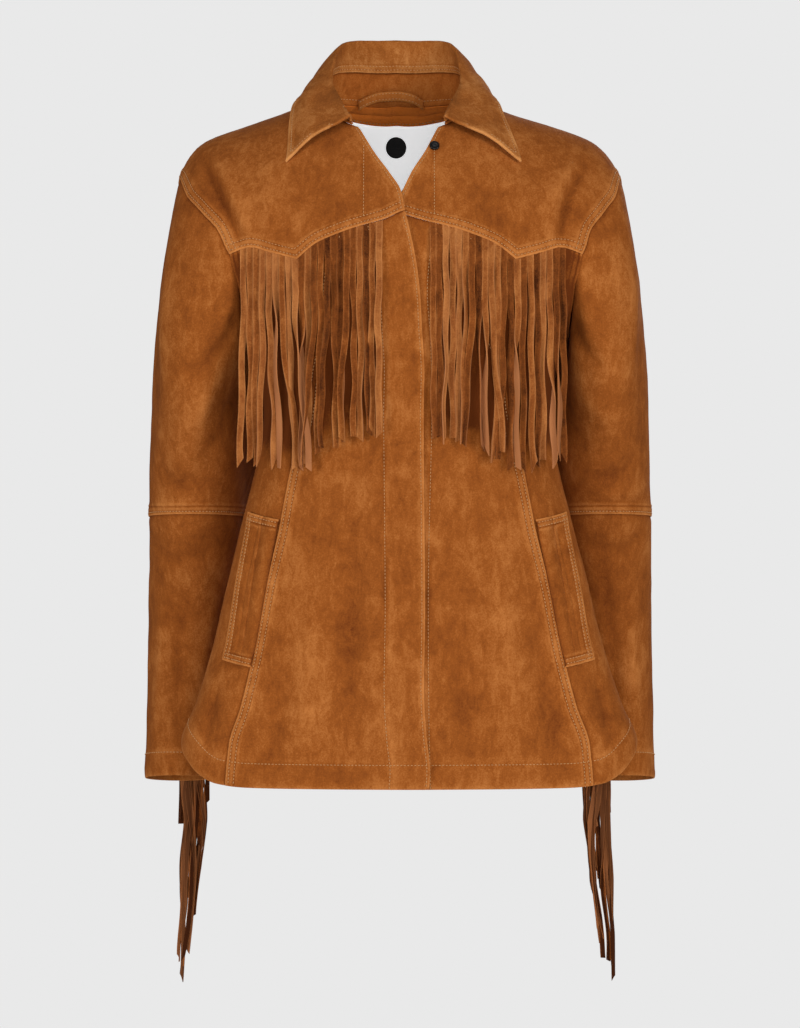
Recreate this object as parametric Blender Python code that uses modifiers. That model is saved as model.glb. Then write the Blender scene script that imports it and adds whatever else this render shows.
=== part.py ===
"""A fringed suede jacket as it is worn, filled out and empty: the pieces that a maker would cut, sewn edge to edge.

Metres, +Z up. The front faces -Y and the wearer's right is -X. The origin is between the shoulders, at the
height of the neck, where the wearer's shoulders hold the jacket up.
"""
import math
from collections import namedtuple

import bpy
import numpy as np
from mathutils import Vector

# ---------------------------------------------------------------- driving sizes
WALL = 0.0015                # suede with its turned edges
SEAM_GAP = 0.0003            # between pieces that meet at a seam
EDGE_PULL = 0.00018          # how far each piece stops short of its seam
SHOULDER_PULL = 0.0005       # walls that meet over the shoulder open outward and close inward
ARMHOLE_PULL = 0.0006        # the sleeve meets the armhole at an angle, so it stops a little shorter

SHOULDER_DEPTH = 0.16        # height over which front and back round over into the shoulder
SHOULDER_RUN = 0.21          # cloth from the shoulder line down to where the chest hangs straight
SHOULDER_FADE = 0.26         # below this level the sections are level all round
METRES_PER_DEGREE = 0.0026   # round the body, about
FRONT_SQUARENESS = 2.4       # 2 is an ellipse; more is flatter in front and rounder at the side
BACK_SQUARENESS = 2.1

NECK_HALF_WIDTH = 0.075
NECK_BACK_RUN = 0.061        # cloth from the shoulder line to the neck seam, centre back
NECK_FRONT_RUN = 0.1057
NECK_FRONT_SQUARENESS = 2.6   # a little squarer than an ellipse, to let the collar fold over in front
NECK_END = 0.0395            # half the neck opening, at its front ends
COLLAR_END = 0.044           # the collar starts a little way in from the front edges

PRINCESS_TOP = 0.072         # where the princess seam meets the yoke seam, from centre front
LAP_RISE = 0.003             # the right front lies over the left one by this much

FRINGE_LENGTH = 0.212
FRINGE_START_LEFT = 0.0240    # from the middle of the body to the first strand
FRINGE_START_RIGHT = 0.0220
FRINGE_END = 0.163
FRINGE_WALL = 0.003          # strands overlap and twist, so their reach is thicker than the leather
FRINGE_FALL = 0.0042         # how far in front of the chest the strands hang
FRINGE_BELOW_SEAM = 0.0008
FRINGE_LEAVES_BODY = 0.985   # beyond this share of the body's half width the strands hang straight down

SNAP_RADIUS = 0.005
SNAP_HEIGHT = 0.002
SNAP_X = 0.0345
SNAP_Z = -0.046

LABEL_WIDTH = 0.104
LABEL_ROWS = 3               # it covers this many rows of the back's facets, some 85 mm
LABEL_WALL = 0.001
FACING_WIDTH = 0.024
LINING_STEP = 0.0022         # mid-wall to mid-wall for what lies flat on another piece
LABEL_STEP = 0.0032

# ---------------------------------------------------------------- tables
Section = namedtuple("Section", "level half_width front back side_y drift")
SECTIONS = [                 # the body at each level below the neck; drift is the lean to the wearer's left
    Section(0.000, 0.262, -0.110, 0.120, 0.010, -0.0085),
    Section(0.030, 0.262, -0.112, 0.120, 0.008, -0.0065),
    Section(0.080, 0.261, -0.116, 0.120, 0.004, -0.0045),
    Section(0.120, 0.256, -0.119, 0.119, 0.000, -0.0015),
    Section(0.160, 0.235, -0.122, 0.118, -0.005, 0.0012),
    Section(0.190, 0.205, -0.124, 0.117, -0.010, 0.0018),
    Section(0.215, 0.176, -0.125, 0.115, -0.015, 0.0020),
    Section(0.235, 0.158, -0.125, 0.113, -0.020, 0.0020),
    Section(0.270, 0.147, -0.124, 0.109, -0.028, 0.0020),
    Section(0.310, 0.141, -0.122, 0.104, -0.036, 0.0020),
    Section(0.350, 0.147, -0.122, 0.100, -0.044, 0.0020),
    Section(0.405, 0.160, -0.125, 0.098, -0.052, 0.0020),
    Section(0.470, 0.176, -0.130, 0.095, -0.058, 0.0025),
    Section(0.538, 0.192, -0.135, 0.095, -0.062, 0.0030),
    Section(0.592, 0.209, -0.139, 0.095, -0.065, 0.0035),
    Section(0.632, 0.2235, -0.142, 0.095, -0.066, 0.0040),
    Section(0.690, 0.2250, -0.145, 0.095, -0.067, 0.0040),
]

Ridge = namedtuple("Ridge", "x z")
SHOULDER_LINE = [            # the top of the jacket from the neck out to the sleeve head
    Ridge(0.000, 0.028),
    Ridge(0.040, 0.0215),
    Ridge(0.075, 0.0090),
    Ridge(0.115, -0.0065),
    Ridge(0.160, -0.0215),
    Ridge(0.185, -0.0305),
    Ridge(0.199, -0.0385),
    Ridge(0.2085, -0.0490),
    Ridge(0.2165, -0.0625),
    Ridge(0.2215, -0.0770),
    Ridge(0.262, -0.220),
]

Spot = namedtuple("Spot", "x z")
V_EDGE = [                   # the open neck, from its upper end down to the yoke seam
    Spot(NECK_END, -0.0245),
    Spot(0.0255, -0.0500),
    Spot(0.0110, -0.0720),
    Spot(0.0005, -0.0915),
]
FRONT_EDGE_RIGHT = [         # the edge that laps over, below the yoke seam; minus is past centre front
    Spot(-0.0018, -0.1110),
    Spot(-0.0080, -0.1500),
    Spot(-0.0135, -0.2100),
    Spot(-0.0165, -0.2740),
    Spot(-0.0165, -0.5000),
    Spot(-0.0150, -0.5900),
    Spot(-0.0165, -0.6200),
    Spot(-0.0200, -0.6550),
    Spot(-0.0190, -0.6730),
]
FRONT_EDGE_LEFT = [          # the edge underneath
    Spot(-0.0080, -0.1125),
    Spot(-0.0150, -0.1500),
    Spot(-0.0180, -0.2100),
    Spot(-0.0180, -0.4500),
    Spot(-0.0180, -0.6730),
]
YOKE_SEAM_INNER = [          # centre front to the princess seam
    Spot(0.0195, -0.1197),
    Spot(0.0390, -0.1245),
    Spot(0.0550, -0.1290),
    Spot(PRINCESS_TOP, -0.1352),
]
YOKE_SEAM_DIP = [            # down to the yoke's point
    Spot(PRINCESS_TOP, -0.1352),
    Spot(0.0845, -0.1406),
    Spot(0.1065, -0.1575),
]
YOKE_SEAM_OUTER = [          # and up and out to the armhole
    Spot(0.1065, -0.1575),
    Spot(0.1320, -0.1507),
    Spot(0.1525, -0.1455),
    Spot(0.1720, -0.1517),
]
ARMHOLE_FRONT = [            # from the shoulder tip down to the end of the yoke seam
    Spot(0.2215, -0.0770),
    Spot(0.2110, -0.0920),
    Spot(0.1970, -0.1100),
    Spot(0.1800, -0.1330),
    Spot(0.1720, -0.1517),
]
ARMHOLE_LOW = [              # and on to the underarm
    Spot(0.1720, -0.1517),
    Spot(0.1660, -0.1750),
    Spot(0.1620, -0.2000),
    Spot(0.1590, -0.2220),
]
ARMHOLE_BACK = [             # the back half, shoulder tip to underarm
    Spot(0.2215, -0.0770),
    Spot(0.2080, -0.0960),
    Spot(0.1910, -0.1200),
    Spot(0.1780, -0.1500),
    Spot(0.1680, -0.1850),
    Spot(0.1610, -0.2180),
]
PRINCESS_SEAM = [
    Spot(PRINCESS_TOP, -0.1352),
    Spot(0.0840, -0.2100),
    Spot(0.0940, -0.2650),
    Spot(0.1040, -0.3300),
    Spot(0.1150, -0.3700),
    Spot(0.1235, -0.4150),
    Spot(0.1395, -0.4850),
    Spot(0.1535, -0.5560),
    Spot(0.1620, -0.5900),
]
PRINCESS_HEM_X = 0.1785
PRINCESS_HEM_LEVEL = 0.668

HemPoint = namedtuple("HemPoint", "angle z")
HEM = [                      # level in front and behind, rounded up towards the side seams
    HemPoint(0.0, -0.6730),
    HemPoint(40.0, -0.6720),
    HemPoint(54.0, -0.6685),
    HemPoint(64.0, -0.6600),
    HemPoint(74.0, -0.6470),
    HemPoint(90.0, -0.6300),
]
UNDERARM_LEVEL = 0.235

Ring = namedtuple("Ring", "z outer inner front back tilt tuck")
SLEEVE_RINGS = [             # tilt is how much lower the ring's back is, for each metre of depth; tuck is how far
                             # the inner side reaches in behind the body
    Ring(-0.300, 0.2480, 0.1580, -0.072, 0.080, 0.00, 0.0270),
    Ring(-0.350, 0.2500, 0.1570, -0.055, 0.083, 0.02, 0.0200),
    Ring(-0.408, 0.2520, 0.1600, -0.028, 0.092, 0.05, 0.0120),
    Ring(-0.500, 0.2535, 0.1720, 0.000, 0.108, 0.08, 0.0030),
    Ring(-0.600, 0.2560, 0.1855, 0.018, 0.114, 0.11, 0.0000),
    Ring(-0.674, 0.2578, 0.1936, 0.024, 0.116, 0.12, 0.0000),
]
SLEEVE_CENTRE = -0.005
TUCK_TURN = math.radians(208.0)    # on the inner side, a little towards the back
TUCK_SPREAD = math.radians(26.0)
SLEEVE_HEAD_SWING = 0.15     # how far the head's cloth leaves the armhole towards front and back
ELBOW_Z = -0.4085
CUFF_Z = -0.674
SLEEVE_HEAD_LEAN = (0.22, 0.90, 0.04)     # outward lean of the cloth as it leaves the tip, the middle, the underarm
UNDERARM_STEP = 0.0022       # the sleeve is sewn outside the body where the two hang side by side

CollarRow = namedtuple("CollarRow", "station roll_x roll_y roll_z edge_x edge_y edge_z")
COLLAR = [                   # station 0 is centre back and 1 the front end; the fold line, then the outer edge
    CollarRow(0.00, 0.0000, 0.064, 0.0735, 0.0000, 0.088, -0.010),
    CollarRow(0.20, 0.0330, 0.060, 0.0735, 0.0490, 0.082, -0.006),
    CollarRow(0.36, 0.0530, 0.043, 0.0690, 0.0830, 0.057, 0.004),
    CollarRow(0.52, 0.0615, 0.016, 0.0505, 0.0965, 0.022, 0.008),
    CollarRow(0.68, 0.0620, -0.014, 0.0280, 0.1015, -0.015, 0.003),
    CollarRow(0.84, 0.0555, -0.046, 0.0045, 0.1085, -0.051, -0.0245),
    CollarRow(1.00, 0.0465, -0.0765, -0.0150, 0.1153, -0.084, -0.0605),
]
STAND_SHARE = 0.49           # the stand takes this much of the height up to the fold
STAND_TAPER = 0.12           # and this much less of it at the front ends
ROLL_RADIUS = 0.004
COLLAR_LEAN = 0.007          # the leaf tips sit this much further to the wearer's left than the neck
COLLAR_TIP_Z = -0.060
LEAF_CROWN = 0.005

LoopRow = namedtuple("LoopRow", "x z off")
HANGER = [                   # the hanger loop's middle line; off is how far it stands from the collar stand
    LoopRow(-0.0470, 0.0060, 0.0016),
    LoopRow(-0.0400, 0.0100, 0.0060),
    LoopRow(-0.0250, 0.0150, 0.0092),
    LoopRow(-0.0080, 0.0160, 0.0095),
    LoopRow(0.0080, 0.0130, 0.0080),
    LoopRow(0.0185, 0.0070, 0.0016),
]
HANGER_WIDTH = 0.0085

WELT_CORNERS = [             # top at the side, top at the seam, bottom at the side, bottom at the seam
    Spot(0.1530, -0.4046),
    Spot(0.1245, -0.4120),
    Spot(0.1795, -0.5490),
    Spot(0.1525, -0.5555),
]

WELT_STEP = 0.0036           # mid-wall to mid-wall over the curve of the side front

BUNDLE_SHIFT = 0.009         # the wearer's left bundle hangs this much closer to the body
BundleRow = namedtuple("BundleRow", "z inner outer front back")
SLEEVE_FRINGE = [            # the reach of the strands that hang from the back seam of the sleeve
    BundleRow(-0.418, 0.2030, 0.2150, 0.0970, 0.1010),
    BundleRow(-0.480, 0.1990, 0.2200, 0.1085, 0.1150),
    BundleRow(-0.560, 0.1960, 0.2240, 0.1160, 0.1300),
    BundleRow(-0.640, 0.1950, 0.2270, 0.1200, 0.1370),
    BundleRow(-0.720, 0.1960, 0.2280, 0.1205, 0.1390),
    BundleRow(-0.800, 0.2060, 0.2295, 0.1205, 0.1370),
    BundleRow(-0.889, 0.2190, 0.2310, 0.1215, 0.1310),
]

# how many facets each stretch gets; pieces that share a seam share its points
COLS_FRONT = 5
COLS_DIP = 2
COLS_OUTER = 3
ROWS_SKIRT = 9
ROWS_CHEST = 3
ROWS_YOKE = 4
ROWS_BACK_ARM = 7
COLS_NECK_FRONT = 4
COLS_NECK_BACK = 6
COLS_SHOULDER = 6
ROWS_SLEEVE_UPPER = 6
ROWS_SLEEVE_LOWER = 5
COLLAR_COLS = 20
ROWS_WELT = 5
COLS_WELT = 3
ROWS_FRINGE = 6
COLS_LABEL = 7
COLS_HANGER = 10

SUEDE = (0.33, 0.112, 0.028)
SUEDE_DARK = (0.20, 0.062, 0.015)


# ---------------------------------------------------------------- curves
def column(table, name):
    return np.array([getattr(row, name) for row in table], dtype=float)


def smooth(at, xs, ys):
    """A curve through the points that never overshoots them (monotone cubic)."""
    at = np.clip(np.asarray(at, dtype=float), xs[0], xs[-1])
    step = np.diff(xs)
    slope = np.diff(ys) / step
    tangent = np.zeros(len(xs))
    tangent[0] = slope[0]
    tangent[-1] = slope[-1]
    for i in range(1, len(xs) - 1):
        if slope[i - 1] * slope[i] > 0:
            w1 = 2 * step[i] + step[i - 1]
            w2 = step[i] + 2 * step[i - 1]
            tangent[i] = (w1 + w2) / (w1 / slope[i - 1] + w2 / slope[i])
    i = np.clip(np.searchsorted(xs, at, side="right") - 1, 0, len(xs) - 2)
    t = (at - xs[i]) / step[i]
    keep = (1 + 2 * t) * (1 - t) ** 2 * ys[i] + t * t * (3 - 2 * t) * ys[i + 1]
    return keep + step[i] * (t * (1 - t) ** 2 * tangent[i] - t * t * (1 - t) * tangent[i + 1])


def smooth_step(t):
    t = np.clip(t, 0.0, 1.0)
    return t * t * (3 - 2 * t)


def through(points):
    """A finely divided smooth curve through the given points."""
    points = np.array(points, dtype=float)
    chord = lengths(points)
    fine = np.linspace(0.0, chord[-1], 40 * len(points))
    return np.stack([smooth(fine, chord, points[:, k]) for k in range(points.shape[1])], axis=1)


def lengths(points):
    """The length along a line of points up to each of them."""
    return np.concatenate([[0.0], np.cumsum(np.linalg.norm(np.diff(points, axis=0), axis=1))])


# ---------------------------------------------------------------- the filled-out form
LEVELS = column(SECTIONS, "level")
RIDGE_X = column(SHOULDER_LINE, "x")
RIDGE_Z = column(SHOULDER_LINE, "z")


def section(level, name):
    return smooth(level, LEVELS, column(SECTIONS, name))


def level_of(run):
    """Height below the shoulder line after so much cloth has come down over the shoulder."""
    turn = np.clip(run / SHOULDER_RUN, 0.0, 1.0) * math.pi / 2
    return SHOULDER_DEPTH * (1 - np.cos(turn)) + np.maximum(run - SHOULDER_RUN, 0.0)


def run_of(level):
    turn = np.arccos(np.clip(1 - level / SHOULDER_DEPTH, 0.0, 1.0))
    return turn * SHOULDER_RUN / (math.pi / 2) + np.maximum(level - SHOULDER_DEPTH, 0.0)


def ridge(x):
    return smooth(np.abs(x), RIDGE_X, RIDGE_Z)


def fade(level):
    return np.clip(1 - level / SHOULDER_FADE, 0.0, 1.0) ** 2


def form(angle, run):
    """The point on the form at an angle from centre front (degrees, plus to the wearer's left)."""
    angle = (np.asarray(angle, dtype=float) + 180.0) % 360.0 - 180.0
    run = np.asarray(run, dtype=float)
    level = level_of(run)
    turn = np.radians(np.abs(angle))
    front = np.abs(angle) <= 90.0
    power = np.where(front, 2 / FRONT_SQUARENESS, 2 / BACK_SQUARENESS)
    across = np.abs(np.sin(turn)) ** power
    along = np.abs(np.cos(turn)) ** power
    x = across * section(level, "half_width")
    z = ridge(x) * fade(level) - level
    side_y = section(level, "side_y")
    reach = np.where(front, section(level, "front"), section(level, "back")) - side_y
    rounding = np.sin(np.clip(run / SHOULDER_RUN, 0.0, 1.0) * math.pi / 2)
    y = side_y + reach * along * rounding
    return np.stack([np.sign(angle) * x + section(-z, "drift"), y, z], axis=-1)


def normal(angle, run):
    """Outward direction on the form."""
    step_angle = 0.4
    step_run = 0.0008
    sideways = form(angle + step_angle, run) - form(angle - step_angle, run)
    down = form(angle, np.asarray(run) + step_run) - form(angle, run)
    out = np.cross(down, sideways)
    size = np.linalg.norm(out, axis=-1, keepdims=True)
    return out / np.maximum(size, 1e-12)


def on_form(x, z, behind=False):
    """Angle and run of the point seen at x (from the middle of the body) and z."""
    low = 0.0
    high = 0.69
    for _ in range(60):
        level = (low + high) / 2
        if ridge(x) * fade(level) - level > z:
            low = level
        else:
            high = level
    squareness = BACK_SQUARENESS if behind else FRONT_SQUARENESS
    share = min(abs(x) / float(section(level, "half_width")), 1.0)
    angle = math.degrees(math.asin(share ** (squareness / 2)))
    if behind:
        angle = 180.0 - angle
    return math.copysign(angle, x) if x else angle, float(run_of(level))


def spots(table, behind=False):
    return np.array([on_form(spot.x, spot.z, behind) for spot in table])


def even(route, count, first=None):
    """Points evenly spaced in space along a route of angles and runs, after a first step of its own."""
    scale = np.array([METRES_PER_DEGREE, 1.0])
    fine = through(route * scale) / scale
    length = lengths(form(fine[:, 0], fine[:, 1]))
    if first:
        at = np.concatenate([[0.0], np.linspace(first, length[-1], count)])
    else:
        at = np.linspace(0.0, length[-1], count + 1)
    return np.stack([np.interp(at, length, fine[:, k]) for k in range(2)], axis=1)


# ---------------------------------------------------------------- seams, as routes of (angle, run) on one side
def hem_run(angle):
    """Cloth down to the hem; the front and back halves have the same hem."""
    from_side = np.abs(np.abs(angle) % 180.0 - 90.0)
    z = smooth(90.0 - from_side, column(HEM, "angle"), column(HEM, "z"))
    return run_of(-z)


def neck_route(back):
    """The neck seam from the side of the neck to centre back, or to its front end."""
    if back:
        turn = np.linspace(0.0, math.pi / 2, 30)
        reach = NECK_BACK_RUN
        power = 1.0
    else:
        power = 2 / NECK_FRONT_SQUARENESS
        turn = np.linspace(0.0, math.acos((NECK_END / NECK_HALF_WIDTH) ** (1 / power)), 30)
        reach = NECK_FRONT_RUN
    squareness = BACK_SQUARENESS if back else FRONT_SQUARENESS
    route = []
    for t in turn:
        x = NECK_HALF_WIDTH * math.cos(t) ** power
        run = reach * math.sin(t) ** power
        share = x / float(section(level_of(run), "half_width"))
        angle = math.degrees(math.asin(share ** (squareness / 2)))
        route.append((180.0 - angle if back else angle, run))
    return np.array(route)


def shoulder_route(behind):
    """The shoulder line from the neck to the tip."""
    xs = np.linspace(NECK_HALF_WIDTH, ARMHOLE_FRONT[0].x, 30)
    share = xs / SECTIONS[0].half_width
    angle = np.degrees(np.arcsin(share ** ((BACK_SQUARENESS if behind else FRONT_SQUARENESS) / 2)))
    return np.stack([180.0 - angle if behind else angle, np.zeros_like(xs)], axis=1)


def armhole_back_route():
    route = spots(ARMHOLE_BACK, behind=True)
    route[0, 1] = 0.0
    return np.vstack([route, [[90.0, run_of(UNDERARM_LEVEL)]]])


def side_seam_route():
    """From the underarm down to the hem."""
    runs = np.linspace(float(run_of(UNDERARM_LEVEL)), float(hem_run(90.0)), 20)
    return np.stack([np.full(20, 90.0), runs], axis=1)


def join(*routes):
    """Routes end to end, each shared point once."""
    whole = [routes[0]]
    for route in routes[1:]:
        whole.append(route[1:])
    return np.vstack(whole)


def princess_route():
    route = spots(PRINCESS_SEAM)
    share = PRINCESS_HEM_X / float(section(PRINCESS_HEM_LEVEL, "half_width"))
    foot_angle = math.degrees(math.asin(share ** (FRONT_SQUARENESS / 2)))
    foot = np.array([[foot_angle, float(hem_run(foot_angle))]])
    return np.vstack([route, foot])


def front_edge_route(table):
    route = spots(table)
    route[-1, 1] = hem_run(route[-1, 0])
    return route


def hem_route(start, end):
    angles = np.linspace(start, end, 40)
    return np.stack([angles, hem_run(angles)], axis=1)


def patch(bottom, top, left, right, top_ease=1, side_ease=1):
    """Fills four edges with a grid: bottom and top run left to right, left and right run upward.

    The further the ease, the sooner the shape of that edge is lost inside the grid.
    """
    u = np.linspace(0.0, 1.0, len(bottom))[None, :, None]
    v = np.linspace(0.0, 1.0, len(left))[:, None, None]
    flat = (1 - v) * ((1 - u) * bottom[0] + u * bottom[-1]) + v * ((1 - u) * top[0] + u * top[-1])
    across = (1 - v) * bow(bottom)[None] + v ** top_ease * bow(top)[None]
    up = (1 - u) ** side_ease * bow(left)[:, None] + u ** side_ease * bow(right)[:, None]
    return flat + across + up


def bow(edge):
    """How far the points of an edge stand off the straight line between its ends."""
    share = np.linspace(0.0, 1.0, len(edge))[:, None]
    return edge - ((1 - share) * edge[0] + share * edge[-1])


# ---------------------------------------------------------------- solids
def lap(points):
    """How far the right front and yoke rise to lie over the left ones."""
    from_edge = smooth_step((0.050 + points[..., 0]) / 0.030)
    below_v = smooth_step((-0.062 - points[..., 2]) / 0.026)
    return LAP_RISE * from_edge * below_v


def pull_in(points, closed, by):
    """Stops the open edges of a grid short of their seams."""
    points = points.copy()
    edges = [(points[0], points[1]), (points[-1], points[-2])]
    if not closed:
        edges += [(points[:, 0], points[:, 1]), (points[:, -1], points[:, -2])]
    for edge, inside in edges:
        way = inside - edge
        edge += way / np.linalg.norm(way, axis=-1, keepdims=True) * by
    return points


def material(name, colour, roughness=0.9, metallic=0.0):
    made = bpy.data.materials.new(name)
    made.use_nodes = True
    shader = made.node_tree.nodes["Principled BSDF"]
    shader.inputs["Base Color"].default_value = (*colour, 1.0)
    shader.inputs["Roughness"].default_value = roughness
    shader.inputs["Metallic"].default_value = metallic
    return made


def sheet(name, points, colour=SUEDE, closed=False, wall=WALL, pull=EDGE_PULL, roughness=0.9, flip=False):
    """A wall of cloth on a grid of points whose rows go up and whose columns go round."""
    points = pull_in(points, closed, pull)
    rows, cols = points.shape[:2]
    faces = []
    for r in range(rows - 1):
        for c in range(cols if closed else cols - 1):
            d = (c + 1) % cols
            face = (r * cols + c, r * cols + d, (r + 1) * cols + d, (r + 1) * cols + c)
            faces.append(face[::-1] if flip else face)
    mesh = bpy.data.meshes.new(name)
    mesh.from_pydata([tuple(p) for p in points.reshape(-1, 3)], [], faces)
    mesh.materials.append(material(name, colour, roughness))
    thing = bpy.data.objects.new(name, mesh)
    jacket.objects.link(thing)
    shell = thing.modifiers.new("wall", "SOLIDIFY")
    shell.thickness = wall
    shell.offset = 0.0
    return thing


def mirrored(route, side):
    """The same route on the other side of the body."""
    route = route.copy()
    route[..., 0] *= side
    return route


def lay(grid, out=0.0, right_front=False):
    """Puts a grid of angles and runs on the form, moved out by a distance."""
    points = form(grid[..., 0], grid[..., 1])
    if right_front:
        out = out + lap(points)[..., None]
    return points + normal(grid[..., 0], grid[..., 1]) * out


def seams(side):
    """Every seam of one side, as evenly spaced routes; side is -1 for the wearer's right."""
    edge_table = FRONT_EDGE_RIGHT if side < 0 else FRONT_EDGE_LEFT
    front_edge = front_edge_route(edge_table)
    yoke_start = front_edge[:1]
    found = {
        "front_edge": even(front_edge, ROWS_SKIRT + ROWS_CHEST),
        "v_edge": even(np.vstack([spots(V_EDGE), yoke_start]), ROWS_YOKE),
        "yoke_inner": even(np.vstack([yoke_start, spots(YOKE_SEAM_INNER)]), COLS_FRONT),
        "yoke_dip": even(spots(YOKE_SEAM_DIP), COLS_DIP),
        "yoke_outer": even(spots(YOKE_SEAM_OUTER), COLS_OUTER),
        "arm_front": even(start_on_ridge(spots(ARMHOLE_FRONT)), ROWS_YOKE),
        "arm_low": even(np.vstack([spots(ARMHOLE_LOW), [[90.0, float(run_of(UNDERARM_LEVEL))]]]), ROWS_CHEST),
        "arm_back": even(armhole_back_route(), ROWS_BACK_ARM, first=FACING_WIDTH),
        "side": even(side_seam_route(), ROWS_SKIRT),
        "princess": even(princess_route(), ROWS_SKIRT + ROWS_CHEST),
        "neck_front": even(neck_route(back=False), COLS_NECK_FRONT),
        "neck_back": even(neck_route(back=True), COLS_NECK_BACK),
        "shoulder_front": even(shoulder_route(behind=False), COLS_SHOULDER),
        "shoulder_back": even(shoulder_route(behind=True), COLS_SHOULDER),
    }
    princess_foot = found["princess"][-1]
    found["hem_front"] = even(hem_route(found["front_edge"][-1, 0], princess_foot[0]), COLS_FRONT)
    found["hem_side"] = even(hem_route(princess_foot[0], 90.0), COLS_DIP + COLS_OUTER)
    return {name: mirrored(route, side) for name, route in found.items()}


def start_on_ridge(route):
    route = route.copy()
    route[0, 1] = 0.0
    return route


def make_fronts(side, name):
    """Yoke, centre front and side front of one side."""
    s = seams(side)
    right = side < 0
    yoke = patch(join(s["yoke_inner"], s["yoke_dip"], s["yoke_outer"]),
                 join(s["neck_front"][::-1], s["shoulder_front"]),
                 s["v_edge"][::-1],
                 s["arm_front"][::-1])
    sheet("yoke_" + name, lay(yoke, right_front=right), flip=right)
    front = patch(s["hem_front"], s["yoke_inner"], s["front_edge"][::-1], s["princess"][::-1])
    sheet("front_" + name, lay(front, right_front=right), flip=right)
    outer = join(s["arm_low"], s["side"])[::-1]
    side_front = patch(s["hem_side"], join(s["yoke_dip"], s["yoke_outer"]), s["princess"][::-1], outer)
    sheet("side_front_" + name, lay(side_front), flip=right)


def make_back():
    """One plain panel from the neck and shoulders to the hem."""
    right = seams(-1)
    left = seams(1)
    columns = 2 * (COLS_SHOULDER + COLS_NECK_BACK)
    bottom = even(hem_route(90.0, 270.0), columns)
    top = join(left["shoulder_back"][::-1], left["neck_back"], around(right["neck_back"][::-1]),
               around(right["shoulder_back"]))
    left_edge = join(left["side"][::-1], left["arm_back"][::-1])
    right_edge = around(join(right["side"][::-1], right["arm_back"][::-1]))
    points = lay(patch(bottom, top, left_edge, right_edge, top_ease=3, side_ease=2))
    sheet("back", points, pull=SHOULDER_PULL)
    make_neck_lining(points)


def around(route):
    """Angles of the right side counted on past 180 degrees, so that the back is one stretch."""
    route = route.copy()
    route[..., 0] += 360.0
    return route


def sleeve_ring(z, turn, side):
    """Points round the sleeve at a height; turn 0 is the outer side and 90 degrees the front."""
    heights = column(SLEEVE_RINGS, "z")[::-1]
    size = {name: smooth(z, heights, column(SLEEVE_RINGS, name)[::-1]) for name in Ring._fields[1:]}
    mid_x = (size["outer"] + size["inner"]) / 2
    mid_y = (size["front"] + size["back"]) / 2
    x = mid_x + (size["outer"] - size["inner"]) / 2 * np.cos(turn)
    x = x - size["tuck"] * np.exp(-((turn - TUCK_TURN) / TUCK_SPREAD) ** 2)
    y = mid_y - (size["back"] - size["front"]) / 2 * np.sin(turn)
    return np.stack([side * x + SLEEVE_CENTRE, y, z - size["tilt"] * (y - mid_y)], axis=-1)


def armhole_loop(side):
    """The armhole from the shoulder tip round the front to the underarm and up the back."""
    s = seams(side)
    front = join(s["arm_front"], s["arm_low"])
    back = s["arm_back"][::-1]
    loop = np.vstack([front, back[1:-1]])
    points = form(loop[:, 0], loop[:, 1])
    out = normal(loop[:, 0], loop[:, 1])
    turn = np.concatenate([spread(form(front[:, 0], front[:, 1]), 0.0, math.pi),
                           spread(form(back[:, 0], back[:, 1]), math.pi, 2 * math.pi)[1:-1]])
    under = smooth_step((-np.cos(turn)) / 0.8)[:, None]
    return points + out * under * UNDERARM_STEP, turn


def spread(points, start, end):
    """Shares an angle out along a line of points by length."""
    length = lengths(points)
    return start + (end - start) * length / length[-1]


def sleeve_grid(side):
    """The upper sleeve, from the armhole to the elbow, then the lower one to the cuff."""
    loop, turn = armhole_loop(side)
    tube_z = np.full_like(turn, SLEEVE_RINGS[0].z)
    target = sleeve_ring(tube_z, turn, side)
    below = sleeve_ring(tube_z - 0.004, turn, side)
    arrive = (below - target) / np.linalg.norm(below - target, axis=1, keepdims=True)
    half = np.abs(np.cos(turn))
    tip = np.where(np.cos(turn) > 0, SLEEVE_HEAD_LEAN[0], SLEEVE_HEAD_LEAN[2])
    lean = half * tip + (1 - half) * SLEEVE_HEAD_LEAN[1]
    leave = np.stack([side * lean, -SLEEVE_HEAD_SWING * np.sin(turn), -np.ones_like(turn)], axis=1)
    leave /= np.linalg.norm(leave, axis=1, keepdims=True)
    loop = loop + leave * (ARMHOLE_PULL - EDGE_PULL)
    span = np.linalg.norm(target - loop, axis=1, keepdims=True)
    head_rows = ROWS_SLEEVE_UPPER - 2
    grid = []
    for r in range(head_rows + 1):
        t = r / head_rows
        grid.append((2 * t ** 3 - 3 * t ** 2 + 1) * loop + (t ** 3 - 2 * t ** 2 + t) * span * leave
                    + (3 * t ** 2 - 2 * t ** 3) * target + (t ** 3 - t ** 2) * span * arrive)
    for z in np.linspace(SLEEVE_RINGS[0].z, ELBOW_Z, ROWS_SLEEVE_UPPER - head_rows + 1)[1:]:
        grid.append(sleeve_ring(np.full_like(turn, z), turn, side))
    lower = [sleeve_ring(np.full_like(turn, z), turn, side)
             for z in np.linspace(ELBOW_Z, CUFF_Z, ROWS_SLEEVE_LOWER + 1)]
    return np.array(grid), np.array(lower)


def make_sleeve(side, name):
    upper, lower = sleeve_grid(side)
    sheet("sleeve_upper_" + name, upper, closed=True, flip=side < 0)
    sheet("sleeve_lower_" + name, lower, closed=True, flip=side < 0)


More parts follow.
